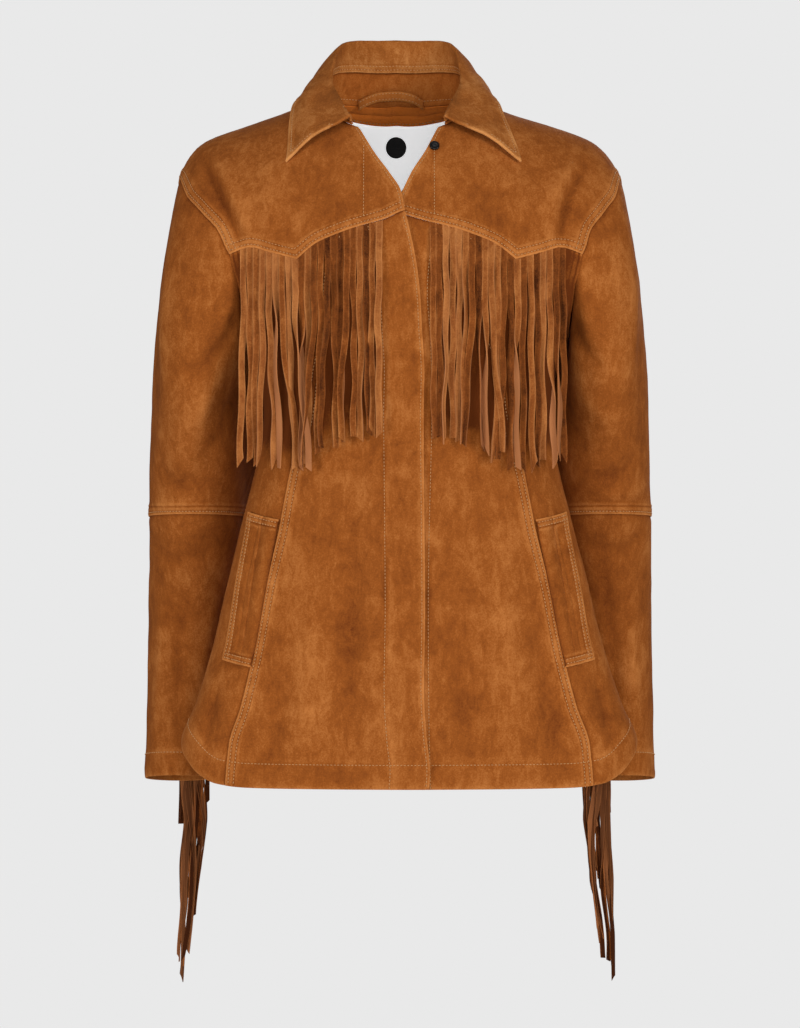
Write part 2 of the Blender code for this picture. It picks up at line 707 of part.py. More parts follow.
def neck_seam_points(stations):
    """Points on the neck seam for collar stations, on the wearer's left side."""
    back = neck_route(back=True)[::-1]
    front = neck_route(back=False)
    place = np.vstack([form(back[:, 0], back[:, 1]), form(front[1:, 0], front[1:, 1])])
    place[:, 0] -= SECTIONS[0].drift
    place[0, 0] = 0.0
    inside = place[:, 0] >= COLLAR_END
    inside[: len(back)] = True
    place = place[inside]
    length = lengths(place)
    return np.stack([np.interp(stations * length[-1], length, place[:, k]) for k in range(3)], axis=1)


def collar_profiles(cols):
    """For each station from the right end to the left: neck seam, stand top, and the fall's line of points."""
    station = np.linspace(-1.0, 1.0, cols + 1)
    here = np.abs(station)
    at = column(COLLAR, "station")
    base = neck_seam_points(here)
    roll = np.stack([smooth(here, at, column(COLLAR, "roll_" + k)) for k in "xyz"], axis=1)
    edge = np.stack([smooth(here, at, column(COLLAR, "edge_" + k)) for k in "xyz"], axis=1)
    for points in (base, roll, edge):
        lean = COLLAR_LEAN * smooth_step(points[:, 2] / COLLAR_TIP_Z)
        points[:, 0] = points[:, 0] * np.sign(station) + SECTIONS[0].drift + lean
    base = base + np.array([0.0, 0.0, 0.0016])
    share = STAND_SHARE - STAND_TAPER * smooth_step((here - 0.6) / 0.4)
    stand_top = base + (roll - base) * share[:, None]
    away = edge - roll
    away[:, 2] = 0.0
    away /= np.linalg.norm(away, axis=1, keepdims=True)
    down = np.array([0.0, 0.0, -ROLL_RADIUS])
    shrink = (0.45 + 0.55 * smooth_step((1.0 - here) / 0.3))[:, None]
    roll_in = base + (roll - base) * 0.88
    roll_out = roll + (down + away * ROLL_RADIUS * 1.4) * shrink
    middle = (roll_out + edge) / 2 + (away * 0.7 + np.array([0.0, 0.0, 0.7])) * LEAF_CROWN
    return base, stand_top, [stand_top, roll_in, roll, roll_out, middle, edge]


def make_collar():
    base, stand_top, fall = collar_profiles(COLLAR_COLS)
    bow = (base + stand_top) / 2
    stand = np.stack([base, bow, stand_top - (stand_top - bow) * 0.004])
    sheet("collar_stand", stand, flip=True)
    rows = []
    for c in range(len(base)):
        line = [fall[0][c] + np.array([0.0, 0.0, SEAM_GAP / 2])] + [part[c] for part in fall[1:]]
        rows.append(profile(np.array(line)))
    sheet("collar_fall", np.array(rows).transpose(1, 0, 2), flip=True)


def profile(line):
    """A fall's profile: its key points, with one more half way up the inside and two on the leaf."""
    keep = [line[0]]
    chord = lengths(line)
    for k in range(1, len(line)):
        if k in (1, 4, 5):
            keep.append(mid_of(line, chord, k))
        keep.append(line[k])
    return np.array(keep)


def mid_of(line, chord, k):
    half = (chord[k - 1] + chord[k]) / 2
    return np.array([float(smooth(half, chord, line[:, axis])) for axis in range(3)])


def make_neck_lining(back):
    """The facing round the back neck, and the label sewn on below it, both on the inside of the back."""
    inside = back - outward(back) * LINING_STEP
    neck = slice(COLS_SHOULDER, COLS_SHOULDER + 2 * COLS_NECK_BACK + 1)
    sheet("neck_facing", inside[-2:, neck], SUEDE_DARK, pull=SHOULDER_PULL)
    centre = SECTIONS[0].drift
    xs = np.linspace(centre + LABEL_WIDTH / 2, centre - LABEL_WIDTH / 2, COLS_LABEL + 1)
    label = []
    for row in (back - outward(back) * LABEL_STEP)[-2 - LABEL_ROWS:-1]:
        order = np.argsort(row[:, 0])
        label.append([(x, *(np.interp(x, row[order, 0], row[order, k]) for k in (1, 2))) for x in xs])
    sheet("neck_label", np.array(label), (0.80, 0.80, 0.78), wall=LABEL_WALL, pull=SHOULDER_PULL)


def outward(points):
    """Directions away from the wearer on a grid whose rows go up and whose columns go to the wearer's right."""
    across = np.gradient(points, axis=1)
    up = np.gradient(points, axis=0)
    out = np.cross(across, up)
    return out / np.linalg.norm(out, axis=-1, keepdims=True)


def make_hanger():
    """A narrow strap sewn down at both ends on the inside of the collar stand."""
    xs = np.linspace(HANGER[0].x, HANGER[-1].x, COLS_HANGER + 1)
    zs = smooth(xs, column(HANGER, "x"), column(HANGER, "z"))
    off = smooth(xs, column(HANGER, "x"), column(HANGER, "off"))
    base, stand_top, _ = collar_profiles(60)
    grid = []
    for edge in (-0.5, 0.5):
        row = []
        for x, z, stand_off in zip(xs, zs, off):
            z_here = z + edge * HANGER_WIDTH
            back = base[:, 1] > 0
            share = (z_here - base[back, 2]) / (stand_top[back, 2] - base[back, 2])
            wall = base[back] + (stand_top[back] - base[back]) * np.clip(share, -0.5, 1.0)[:, None]
            order = np.argsort(wall[:, 0])
            y = np.interp(x, wall[order, 0], wall[order, 1])
            row.append((x, y - stand_off - WALL, z_here))
        grid.append(row)
    sheet("hanger_loop", np.array(grid), wall=0.0015, pull=0.0)


def make_welt(side, name):
    """The slanted pocket welt, stitched flat on the side front."""
    top_side, top_seam, low_side, low_seam = (np.array(on_form(s.x, s.z)) for s in WELT_CORNERS)
    seam_edge = np.linspace(low_seam, top_seam, ROWS_WELT + 1)
    side_edge = np.linspace(low_side, top_side, ROWS_WELT + 1)
    across = np.linspace(0.0, 1.0, COLS_WELT + 1)
    grid = np.stack([seam_edge + (side_edge - seam_edge) * t for t in across], axis=1)
    sheet("pocket_welt_" + name, lay(mirrored(grid, side), WELT_STEP), flip=side < 0)


def make_front_fringe(side, name):
    """The reach of the strands that hang from the yoke seam."""
    s = seams(side)
    top = join(s["yoke_inner"], s["yoke_dip"], s["yoke_outer"])
    start = FRINGE_START_LEFT if side > 0 else FRINGE_START_RIGHT
    place = form(top[:, 0], top[:, 1])
    order = np.argsort(side * place[:, 0])
    across = side * place[order, 0]
    between = across[(across > start + 0.004) & (across < FRINGE_END - 0.004)]
    stations = np.concatenate([[start], between, [FRINGE_END]])
    drops = np.linspace(0.0, 1.0, ROWS_FRINGE + 1)
    grid = []
    for x in stations:
        z_top = np.interp(x, across, place[order, 2]) - FRINGE_BELOW_SEAM
        y = np.interp(x, across, place[order, 1])
        col = []
        for drop in drops:
            z = z_top - drop * FRINGE_LENGTH
            own = x - side * float(section(-z, "drift"))
            if own < float(section(-z, "half_width")) * FRINGE_LEAVES_BODY:
                angle, run = on_form(own, z)
                y = min(y, float(form(angle, run)[1]))
            rise = float(lap(np.array([side * x, y, z]))) if side < 0 else 0.0
            col.append((side * x, y - FRINGE_FALL - rise, z))
        grid.append(col[::-1])
    points = np.array(grid).transpose(1, 0, 2)
    sheet("fringe_front_" + name, points, SUEDE_DARK, wall=FRINGE_WALL, pull=0.0, flip=side < 0)


def make_sleeve_fringe(side, name):
    """The reach of the strands that hang from the sleeve's back seam: a closed loft of square sections."""
    shift = SLEEVE_CENTRE - (BUNDLE_SHIFT if side > 0 else 0.0)
    verts = []
    faces = []
    for row in SLEEVE_FRINGE:
        for x, y in ((row.inner, row.front), (row.outer, row.front), (row.outer, row.back), (row.inner, row.back)):
            verts.append((side * x + shift, y, row.z))
    for r in range(len(SLEEVE_FRINGE) - 1):
        for c in range(4):
            d = (c + 1) % 4
            faces.append((r * 4 + c, r * 4 + 4 + c, r * 4 + 4 + d, r * 4 + d))
    last = 4 * (len(SLEEVE_FRINGE) - 1)
    faces.append((0, 1, 2, 3))
    faces.append((last + 3, last + 2, last + 1, last))
    if side < 0:
        faces = [face[::-1] for face in faces]
    mesh = bpy.data.meshes.new("fringe_sleeve_" + name)
    mesh.from_pydata(verts, [], faces)
    mesh.materials.append(material(mesh.name, SUEDE_DARK))
    jacket.objects.link(bpy.data.objects.new(mesh.name, mesh))


def make_snap():
    """A black press snap on the wearer's left yoke, near the neck."""
    angle, run = on_form(SNAP_X, SNAP_Z)
    out = Vector(normal(angle, run))
    lift = WALL / 2 + 0.0006 + SNAP_HEIGHT / 2
    centre = Vector(form(angle, run)) + out * lift
    bpy.ops.mesh.primitive_cylinder_add(vertices=20, radius=SNAP_RADIUS, depth=SNAP_HEIGHT, location=centre)
    snap = bpy.context.object
    snap.name = "snap"
    snap.rotation_euler = out.to_track_quat("Z", "Y").to_euler()
    for owner in list(snap.users_collection):
        owner.objects.unlink(snap)
    jacket.objects.link(snap)
    snap.data.materials.append(material("snap", (0.012, 0.012, 0.013), 0.35, 0.6))
    edge = snap.modifiers.new("edge", "BEVEL")
    edge.width = 0.0004
    edge.segments = 1


for old in list(bpy.data.objects):
    bpy.data.objects.remove(old, do_unlink=True)
jacket = bpy.data.collections.new("fringed_suede_jacket")
bpy.context.scene.collection.children.link(jacket)

make_back()
for which, label in ((-1, "right"), (1, "left")):
    make_fronts(which, label)
    make_sleeve(which, label)
    make_welt(which, label)
    make_front_fringe(which, label)
    make_sleeve_fringe(which, label)
make_collar()
make_hanger()
make_snap()
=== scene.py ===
"""Looks for a fringed suede jacket: cut pieces of suede with their seams, stitches, folds and cut strands.

Metres, +Z up. The front faces -Y and the wearer's left is +X. The jacket's shape is worked out from the same
surface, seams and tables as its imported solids, only finer, and each piece stands for the solid of its name.
"""
import math
import random
from collections import namedtuple

import bmesh
import bpy
import numpy as np
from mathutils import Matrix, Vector, noise


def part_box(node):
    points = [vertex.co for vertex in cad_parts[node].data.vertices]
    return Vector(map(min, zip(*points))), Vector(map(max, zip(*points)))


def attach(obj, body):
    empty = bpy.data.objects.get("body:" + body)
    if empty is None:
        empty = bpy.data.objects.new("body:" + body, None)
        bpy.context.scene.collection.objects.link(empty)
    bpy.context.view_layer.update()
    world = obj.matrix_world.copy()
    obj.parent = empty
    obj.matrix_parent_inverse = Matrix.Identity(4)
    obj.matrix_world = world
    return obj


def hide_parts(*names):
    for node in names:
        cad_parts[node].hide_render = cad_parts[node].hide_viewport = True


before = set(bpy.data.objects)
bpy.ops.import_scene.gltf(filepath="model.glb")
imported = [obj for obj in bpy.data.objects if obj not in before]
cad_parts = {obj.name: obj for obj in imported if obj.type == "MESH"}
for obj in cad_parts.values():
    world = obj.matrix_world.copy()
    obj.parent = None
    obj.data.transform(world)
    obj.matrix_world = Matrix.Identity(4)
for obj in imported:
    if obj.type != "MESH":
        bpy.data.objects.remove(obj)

bl_info = {
    "name": "Fringed Suede Jacket",
    "version": (1, 0, 0),
    "blender": (4, 5, 0),
    "location": "View3D > Sidebar > Jacket",
    "description": "Sews a fringed suede jacket round its packed solids",
    "category": "Add Mesh",
}

# ---------------------------------------------------------------- driving sizes
WALL = 0.0015                # suede with its turned edges

SHOULDER_DEPTH = 0.16        # height over which front and back round over into the shoulder
SHOULDER_RUN = 0.21          # cloth from the shoulder line down to where the chest hangs straight
SHOULDER_FADE = 0.26         # below this level the sections are level all round
METRES_PER_DEGREE = 0.0026   # round the body, about
FRONT_SQUARENESS = 2.4       # 2 is an ellipse; more is flatter in front and rounder at the side
BACK_SQUARENESS = 2.1

NECK_HALF_WIDTH = 0.075
NECK_BACK_RUN = 0.061        # cloth from the shoulder line to the neck seam, centre back
NECK_FRONT_RUN = 0.1057
NECK_FRONT_SQUARENESS = 2.6   # a little squarer than an ellipse, to let the collar fold over in front
NECK_END = 0.0395            # half the neck opening, at its front ends
COLLAR_END = 0.044           # the collar starts a little way in from the front edges

PRINCESS_TOP = 0.072         # where the princess seam meets the yoke seam, from centre front
LAP_RISE = 0.003             # the right front lies over the left one by this much

FRINGE_LENGTH = 0.212
FRINGE_START_LEFT = 0.0240    # from the middle of the body to the first strand
FRINGE_START_RIGHT = 0.0220
FRINGE_END = 0.163
FRINGE_LEAVES_BODY = 0.985   # beyond this share of the body's half width the strands hang straight down

SNAP_RADIUS = 0.005
SNAP_HEIGHT = 0.002
SNAP_X = 0.0345
SNAP_Z = -0.046

LABEL_WIDTH = 0.104
LABEL_WALL = 0.001
FACING_WIDTH = 0.024
LINING_STEP = 0.0022         # mid-wall to mid-wall for what lies flat on another piece
LABEL_STEP = 0.0032

SIDES = ((-1, "right"), (1, "left"))
YOKE_FACING_X = {-1: 0.0405, 1: 0.0285}     # the facing's row of stitches on each yoke, out from the middle
PLACKET_ROW = 0.0385         # the placket's row, from the front edge
LABEL_FOOT = 0.175           # cloth from the shoulder line down to the label's lower edge
DISC_RADIUS = 0.0105
DISC_X = -0.0090
DISC_Z = -0.0330
STAND_TUCK_ROWS = (-0.105, -0.070, -0.035)     # rows of the stand that reach down inside the neck seam
STAND_TUCK = 0.0012          # and how far in they lie
COLLAR_COLUMNS = 150
WELT_RISE = 0.0024
STRAND_ROWS = 44
SLEEVE_STRANDS = 38
STRAND_LAP = 0.93            # pitch for each width of strand, so each laps a little over the next
STRAND_TWISTS = (0.2, 0.35, 0.5, 0.9, 2.9)      # most strands hang nearly flat, and one in five turns over
STRAND_LAYERS = (0.0, 0.0012, 0.0026)
STRAY_SHARE = 0.16           # strands that hang away from their lock
STRAY_LIFT = 0.0030
# painted light: how strongly the label glows, so that it looks lit in the shade of the neck
LABEL_PAINTED_GLOW = 0.55
# painted light: how much paler the neck facing is painted, to look lit in the shade of the neck
FACING_PAINTED_LIGHT = 0.9
UNDER_FRINGE_PAINTED_SHADOW = 1.1     # how much darker the cloth under the fringe is painted, as the strands' shadow
SLEEVE_STRAND_WIDTH = 0.0052
SEAM_HEIGHTS = (-0.674, -0.640, -0.600, -0.520, -0.418)
SEAM_X = (0.2235, 0.2165, 0.2110, 0.2085, 0.2090)     # the sleeve's back seam, at those heights

CAMERA_AWAY = 4.5
CAMERA_Z = -0.406
CAMERA_VIEW = 1.028          # height that the camera sees at the jacket
FLOOR_Z = -1.25
FLOOR_RADIUS = 1.7
ROOM_LIGHT = 0.20            # light that comes from all round, as a share of the backdrop's brightness
STUDIO_LIGHTS = (            # name, place, width and height, watts
    ("key", (2.5, -2.5, 0.3), (1.1, 1.6), 60.0),
    ("front", (0.1, -4.6, -0.1), (1.2, 1.2), 44.0),
    ("fill", (-2.7, -2.4, -0.3), (1.2, 1.6), 53.0),
    ("low", (0.3, -3.0, -1.15), (1.6, 0.4), 15.0),
    ("top", (0.0, -1.4, 1.9), (1.0, 0.8), 10.0),
    ("back", (0.6, 3.2, 0.9), (2.0, 2.0), 60.0),
)

# ---------------------------------------------------------------- tables
Section = namedtuple("Section", "level half_width front back side_y drift")
SECTIONS = [                 # the body at each level below the neck; drift is the lean to the wearer's left
    Section(0.000, 0.262, -0.110, 0.120, 0.010, -0.0085),
    Section(0.030, 0.262, -0.112, 0.120, 0.008, -0.0065),
    Section(0.080, 0.261, -0.116, 0.120, 0.004, -0.0045),
    Section(0.120, 0.256, -0.119, 0.119, 0.000, -0.0015),
    Section(0.160, 0.235, -0.122, 0.118, -0.005, 0.0012),
    Section(0.190, 0.205, -0.124, 0.117, -0.010, 0.0018),
    Section(0.215, 0.176, -0.125, 0.115, -0.015, 0.0020),
    Section(0.235, 0.158, -0.125, 0.113, -0.020, 0.0020),
    Section(0.270, 0.147, -0.124, 0.109, -0.028, 0.0020),
    Section(0.310, 0.141, -0.122, 0.104, -0.036, 0.0020),
    Section(0.350, 0.147, -0.122, 0.100, -0.044, 0.0020),
    Section(0.405, 0.160, -0.125, 0.098, -0.052, 0.0020),
    Section(0.470, 0.176, -0.130, 0.095, -0.058, 0.0025),
    Section(0.538, 0.192, -0.135, 0.095, -0.062, 0.0030),
    Section(0.592, 0.209, -0.139, 0.095, -0.065, 0.0035),
    Section(0.632, 0.2235, -0.142, 0.095, -0.066, 0.0040),
    Section(0.690, 0.2250, -0.145, 0.095, -0.067, 0.0040),
]

Ridge = namedtuple("Ridge", "x z")
SHOULDER_LINE = [            # the top of the jacket from the neck out to the sleeve head
    Ridge(0.000, 0.028),
    Ridge(0.040, 0.0215),
    Ridge(0.075, 0.0090),
    Ridge(0.115, -0.0065),
    Ridge(0.160, -0.0215),
    Ridge(0.185, -0.0305),
    Ridge(0.199, -0.0385),
    Ridge(0.2085, -0.0490),
    Ridge(0.2165, -0.0625),
    Ridge(0.2215, -0.0770),
    Ridge(0.262, -0.220),
]

Spot = namedtuple("Spot", "x z")
V_EDGE = [                   # the open neck, from its upper end down to the yoke seam
    Spot(NECK_END, -0.0245),
    Spot(0.0255, -0.0500),
    Spot(0.0110, -0.0720),
    Spot(0.0005, -0.0915),
]
FRONT_EDGE_RIGHT = [         # the edge that laps over, below the yoke seam; minus is past centre front
    Spot(-0.0018, -0.1110),
    Spot(-0.0080, -0.1500),
    Spot(-0.0135, -0.2100),
    Spot(-0.0165, -0.2740),
    Spot(-0.0165, -0.5000),
    Spot(-0.0150, -0.5900),
    Spot(-0.0165, -0.6200),
    Spot(-0.0200, -0.6550),
    Spot(-0.0190, -0.6730),
]
FRONT_EDGE_LEFT = [          # the edge underneath
    Spot(-0.0080, -0.1125),
    Spot(-0.0150, -0.1500),
    Spot(-0.0180, -0.2100),
    Spot(-0.0180, -0.4500),
    Spot(-0.0180, -0.6730),
]
YOKE_SEAM_INNER = [          # centre front to the princess seam
    Spot(0.0195, -0.1197),
    Spot(0.0390, -0.1245),
    Spot(0.0550, -0.1290),
    Spot(PRINCESS_TOP, -0.1352),
]
YOKE_SEAM_DIP = [            # down to the yoke's point
    Spot(PRINCESS_TOP, -0.1352),
    Spot(0.0845, -0.1406),
    Spot(0.1065, -0.1575),
]
YOKE_SEAM_OUTER = [          # and up and out to the armhole
    Spot(0.1065, -0.1575),
    Spot(0.1320, -0.1507),
    Spot(0.1525, -0.1455),
    Spot(0.1720, -0.1517),
]
ARMHOLE_FRONT = [            # from the shoulder tip down to the end of the yoke seam
    Spot(0.2215, -0.0770),
    Spot(0.2110, -0.0920),
    Spot(0.1970, -0.1100),
    Spot(0.1800, -0.1330),
    Spot(0.1720, -0.1517),
]
ARMHOLE_LOW = [              # and on to the underarm
    Spot(0.1720, -0.1517),
    Spot(0.1660, -0.1750),
    Spot(0.1620, -0.2000),
    Spot(0.1590, -0.2220),
]
ARMHOLE_BACK = [             # the back half, shoulder tip to underarm
    Spot(0.2215, -0.0770),
    Spot(0.2080, -0.0960),
    Spot(0.1910, -0.1200),
    Spot(0.1780, -0.1500),
    Spot(0.1680, -0.1850),
    Spot(0.1610, -0.2180),
]
PRINCESS_SEAM = [
    Spot(PRINCESS_TOP, -0.1352),
    Spot(0.0840, -0.2100),
    Spot(0.0940, -0.2650),
    Spot(0.1040, -0.3300),
    Spot(0.1150, -0.3700),
    Spot(0.1235, -0.4150),
    Spot(0.1395, -0.4850),
    Spot(0.1535, -0.5560),
    Spot(0.1620, -0.5900),
]
PRINCESS_HEM_X = 0.1785
PRINCESS_HEM_LEVEL = 0.668

HemPoint = namedtuple("HemPoint", "angle z")
HEM = [                      # level in front and behind, rounded up towards the side seams
    HemPoint(0.0, -0.6730),
    HemPoint(40.0, -0.6720),
    HemPoint(54.0, -0.6685),
    HemPoint(64.0, -0.6600),
    HemPoint(74.0, -0.6470),
    HemPoint(90.0, -0.6300),
]
UNDERARM_LEVEL = 0.235

Ring = namedtuple("Ring", "z outer inner front back tilt tuck")
SLEEVE_RINGS = [             # tilt is how much lower the ring's back is, for each metre of depth; tuck is how far
                             # the inner side reaches in behind the body
    Ring(-0.300, 0.2480, 0.1580, -0.072, 0.080, 0.00, 0.0270),
    Ring(-0.350, 0.2500, 0.1570, -0.055, 0.083, 0.02, 0.0200),
    Ring(-0.408, 0.2520, 0.1600, -0.028, 0.092, 0.05, 0.0120),
    Ring(-0.500, 0.2535, 0.1720, 0.000, 0.108, 0.08, 0.0030),
    Ring(-0.600, 0.2560, 0.1855, 0.018, 0.114, 0.11, 0.0000),
    Ring(-0.674, 0.2578, 0.1936, 0.024, 0.116, 0.12, 0.0000),
]
SLEEVE_CENTRE = -0.005
TUCK_TURN = math.radians(208.0)    # on the inner side, a little towards the back
TUCK_SPREAD = math.radians(26.0)
SLEEVE_HEAD_SWING = 0.15     # how far the head's cloth leaves the armhole towards front and back
ELBOW_Z = -0.4085
CUFF_Z = -0.674
# outward lean of the cloth as it leaves the tip, the middle and the underarm
SLEEVE_HEAD_LEAN = (0.22, 0.90, 0.04)
UNDERARM_STEP = 0.0022       # the sleeve is sewn outside the body where the two hang side by side

CollarRow = namedtuple("CollarRow", "station roll_x roll_y roll_z edge_x edge_y edge_z")
COLLAR = [                   # station 0 is centre back and 1 the front end; the fold line, then the outer edge
    CollarRow(0.00, 0.0000, 0.064, 0.0735, 0.0000, 0.088, -0.010),
    CollarRow(0.20, 0.0330, 0.060, 0.0735, 0.0490, 0.082, -0.006),
    CollarRow(0.36, 0.0530, 0.043, 0.0690, 0.0830, 0.057, 0.004),
    CollarRow(0.52, 0.0615, 0.016, 0.0505, 0.0965, 0.022, 0.008),
    CollarRow(0.68, 0.0620, -0.014, 0.0280, 0.1015, -0.015, 0.003),
    CollarRow(0.84, 0.0555, -0.046, 0.0045, 0.1085, -0.051, -0.0245),
    CollarRow(1.00, 0.0465, -0.0765, -0.0150, 0.1153, -0.084, -0.0605),
]
STAND_SHARE = 0.49           # the stand takes this much of the height up to the fold
STAND_TAPER = 0.12           # and this much less of it at the front ends
ROLL_RADIUS = 0.004
COLLAR_LEAN = 0.007          # the leaf tips sit this much further to the wearer's left than the neck
COLLAR_TIP_Z = -0.060
LEAF_CROWN = 0.005

LoopRow = namedtuple("LoopRow", "x z off")
HANGER = [                   # the hanger loop's middle line; off is how far it stands from the collar stand
    LoopRow(-0.0470, 0.0060, 0.0016),
    LoopRow(-0.0400, 0.0100, 0.0060),
    LoopRow(-0.0250, 0.0150, 0.0092),
    LoopRow(-0.0080, 0.0160, 0.0095),
    LoopRow(0.0080, 0.0130, 0.0080),
    LoopRow(0.0185, 0.0070, 0.0016),
]
HANGER_WIDTH = 0.0085

WELT_CORNERS = [             # top at the side, top at the seam, bottom at the side, bottom at the seam
    Spot(0.1530, -0.4046),
    Spot(0.1245, -0.4120),
    Spot(0.1795, -0.5490),
    Spot(0.1525, -0.5555),
]


BUNDLE_SHIFT = 0.009         # the wearer's left bundle hangs this much closer to the body
BundleRow = namedtuple("BundleRow", "z inner outer front back")
SLEEVE_FRINGE = [            # the reach of the strands that hang from the back seam of the sleeve
    BundleRow(-0.418, 0.2030, 0.2150, 0.0970, 0.1010),
    BundleRow(-0.480, 0.1990, 0.2200, 0.1085, 0.1150),
    BundleRow(-0.560, 0.1960, 0.2240, 0.1160, 0.1300),
    BundleRow(-0.640, 0.1950, 0.2270, 0.1200, 0.1370),
    BundleRow(-0.720, 0.1960, 0.2280, 0.1205, 0.1390),
    BundleRow(-0.800, 0.2060, 0.2295, 0.1205, 0.1370),
    BundleRow(-0.889, 0.2190, 0.2310, 0.1215, 0.1310),
]

# ---------------------------------------------------------------- curves
def column(table, name):
    return np.array([getattr(row, name) for row in table], dtype=float)


def smooth(at, xs, ys):
    """A curve through the points that never overshoots them (monotone cubic)."""
    at = np.clip(np.asarray(at, dtype=float), xs[0], xs[-1])
    step = np.diff(xs)
    slope = np.diff(ys) / step
    tangent = np.zeros(len(xs))
    tangent[0] = slope[0]
    tangent[-1] = slope[-1]
    for i in range(1, len(xs) - 1):
        if slope[i - 1] * slope[i] > 0:
            w1 = 2 * step[i] + step[i - 1]
            w2 = step[i] + 2 * step[i - 1]
            tangent[i] = (w1 + w2) / (w1 / slope[i - 1] + w2 / slope[i])
    i = np.clip(np.searchsorted(xs, at, side="right") - 1, 0, len(xs) - 2)
    t = (at - xs[i]) / step[i]
    keep = (1 + 2 * t) * (1 - t) ** 2 * ys[i] + t * t * (3 - 2 * t) * ys[i + 1]
    return keep + step[i] * (t * (1 - t) ** 2 * tangent[i] - t * t * (1 - t) * tangent[i + 1])


def smooth_step(t):
    t = np.clip(t, 0.0, 1.0)
    return t * t * (3 - 2 * t)


def through(points):
    """A finely divided smooth curve through the given points."""
    points = np.array(points, dtype=float)
    chord = lengths(points)
    fine = np.linspace(0.0, chord[-1], 40 * len(points))
    return np.stack([smooth(fine, chord, points[:, k]) for k in range(points.shape[1])], axis=1)


def lengths(points):
    """The length along a line of points up to each of them."""
    return np.concatenate([[0.0], np.cumsum(np.linalg.norm(np.diff(points, axis=0), axis=1))])


# ---------------------------------------------------------------- the filled-out form
LEVELS = column(SECTIONS, "level")
RIDGE_X = column(SHOULDER_LINE, "x")
RIDGE_Z = column(SHOULDER_LINE, "z")


def section(level, name):
    return smooth(level, LEVELS, column(SECTIONS, name))


def level_of(run):
    """Height below the shoulder line after so much cloth has come down over the shoulder."""
    turn = np.clip(run / SHOULDER_RUN, 0.0, 1.0) * math.pi / 2
    return SHOULDER_DEPTH * (1 - np.cos(turn)) + np.maximum(run - SHOULDER_RUN, 0.0)


def run_of(level):
    turn = np.arccos(np.clip(1 - level / SHOULDER_DEPTH, 0.0, 1.0))
    return turn * SHOULDER_RUN / (math.pi / 2) + np.maximum(level - SHOULDER_DEPTH, 0.0)


def ridge(x):
    return smooth(np.abs(x), RIDGE_X, RIDGE_Z)


def fade(level):
    return np.clip(1 - level / SHOULDER_FADE, 0.0, 1.0) ** 2


def form(angle, run):
    """The point on the form at an angle from centre front (degrees, plus to the wearer's left)."""
    angle = (np.asarray(angle, dtype=float) + 180.0) % 360.0 - 180.0
    run = np.asarray(run, dtype=float)
    level = level_of(run)
    turn = np.radians(np.abs(angle))
    front = np.abs(angle) <= 90.0
    power = np.where(front, 2 / FRONT_SQUARENESS, 2 / BACK_SQUARENESS)
    across = np.abs(np.sin(turn)) ** power
    along = np.abs(np.cos(turn)) ** power
    x = across * section(level, "half_width")
    z = ridge(x) * fade(level) - level
    side_y = section(level, "side_y")
    reach = np.where(front, section(level, "front"), section(level, "back")) - side_y
    rounding = np.sin(np.clip(run / SHOULDER_RUN, 0.0, 1.0) * math.pi / 2)
    y = side_y + reach * along * rounding
    return np.stack([np.sign(angle) * x + section(-z, "drift"), y, z], axis=-1)


def normal(angle, run):
    """Outward direction on the form."""
    step_angle = 0.4
    step_run = 0.0008
    sideways = form(angle + step_angle, run) - form(angle - step_angle, run)
    down = form(angle, np.asarray(run) + step_run) - form(angle, run)
    out = np.cross(down, sideways)
    size = np.linalg.norm(out, axis=-1, keepdims=True)
    return out / np.maximum(size, 1e-12)


def on_form(x, z, behind=False):
    """Angles and runs of the points seen at x (from the middle of the body) and z."""
    x, z = np.broadcast_arrays(np.asarray(x, dtype=float), np.asarray(z, dtype=float))
    low = np.zeros(x.shape)
    high = np.full(x.shape, 0.69)
    top = ridge(x)
    for _ in range(40):
        level = (low + high) / 2
        above = top * fade(level) - level > z
        low = np.where(above, level, low)
        high = np.where(above, high, level)
    squareness = BACK_SQUARENESS if behind else FRONT_SQUARENESS
    share = np.minimum(np.abs(x) / section(level, "half_width"), 1.0)
    angle = np.degrees(np.arcsin(share ** (squareness / 2)))
    if behind:
        angle = 180.0 - angle
    return np.copysign(angle, x), run_of(level)


def spots(table, behind=False):
    return np.array([on_form(spot.x, spot.z, behind) for spot in table])


# ---------------------------------------------------------------- seams, as routes of (angle, run) on one side
def hem_run(angle):
    """Cloth down to the hem; the front and back halves have the same hem."""
    from_side = np.abs(np.abs(angle) % 180.0 - 90.0)
    z = smooth(90.0 - from_side, column(HEM, "angle"), column(HEM, "z"))
    return run_of(-z)


def neck_route(back):
    """The neck seam from the side of the neck to centre back, or to its front end."""
    if back:
        turn = np.linspace(0.0, math.pi / 2, 30)
        reach = NECK_BACK_RUN
        power = 1.0
    else:
        power = 2 / NECK_FRONT_SQUARENESS
        turn = np.linspace(0.0, math.acos((NECK_END / NECK_HALF_WIDTH) ** (1 / power)), 30)
        reach = NECK_FRONT_RUN
    squareness = BACK_SQUARENESS if back else FRONT_SQUARENESS
    route = []
    for t in turn:
        x = NECK_HALF_WIDTH * math.cos(t) ** power
        run = reach * math.sin(t) ** power
        share = x / float(section(level_of(run), "half_width"))
        angle = math.degrees(math.asin(share ** (squareness / 2)))
        route.append((180.0 - angle if back else angle, run))
    return np.array(route)


def shoulder_route(behind):
    """The shoulder line from the neck to the tip."""
    xs = np.linspace(NECK_HALF_WIDTH, ARMHOLE_FRONT[0].x, 30)
    share = xs / SECTIONS[0].half_width
    angle = np.degrees(np.arcsin(share ** ((BACK_SQUARENESS if behind else FRONT_SQUARENESS) / 2)))
    return np.stack([180.0 - angle if behind else angle, np.zeros_like(xs)], axis=1)


def armhole_back_route():
    route = spots(ARMHOLE_BACK, behind=True)
    route[0, 1] = 0.0
    return np.vstack([route, [[90.0, run_of(UNDERARM_LEVEL)]]])


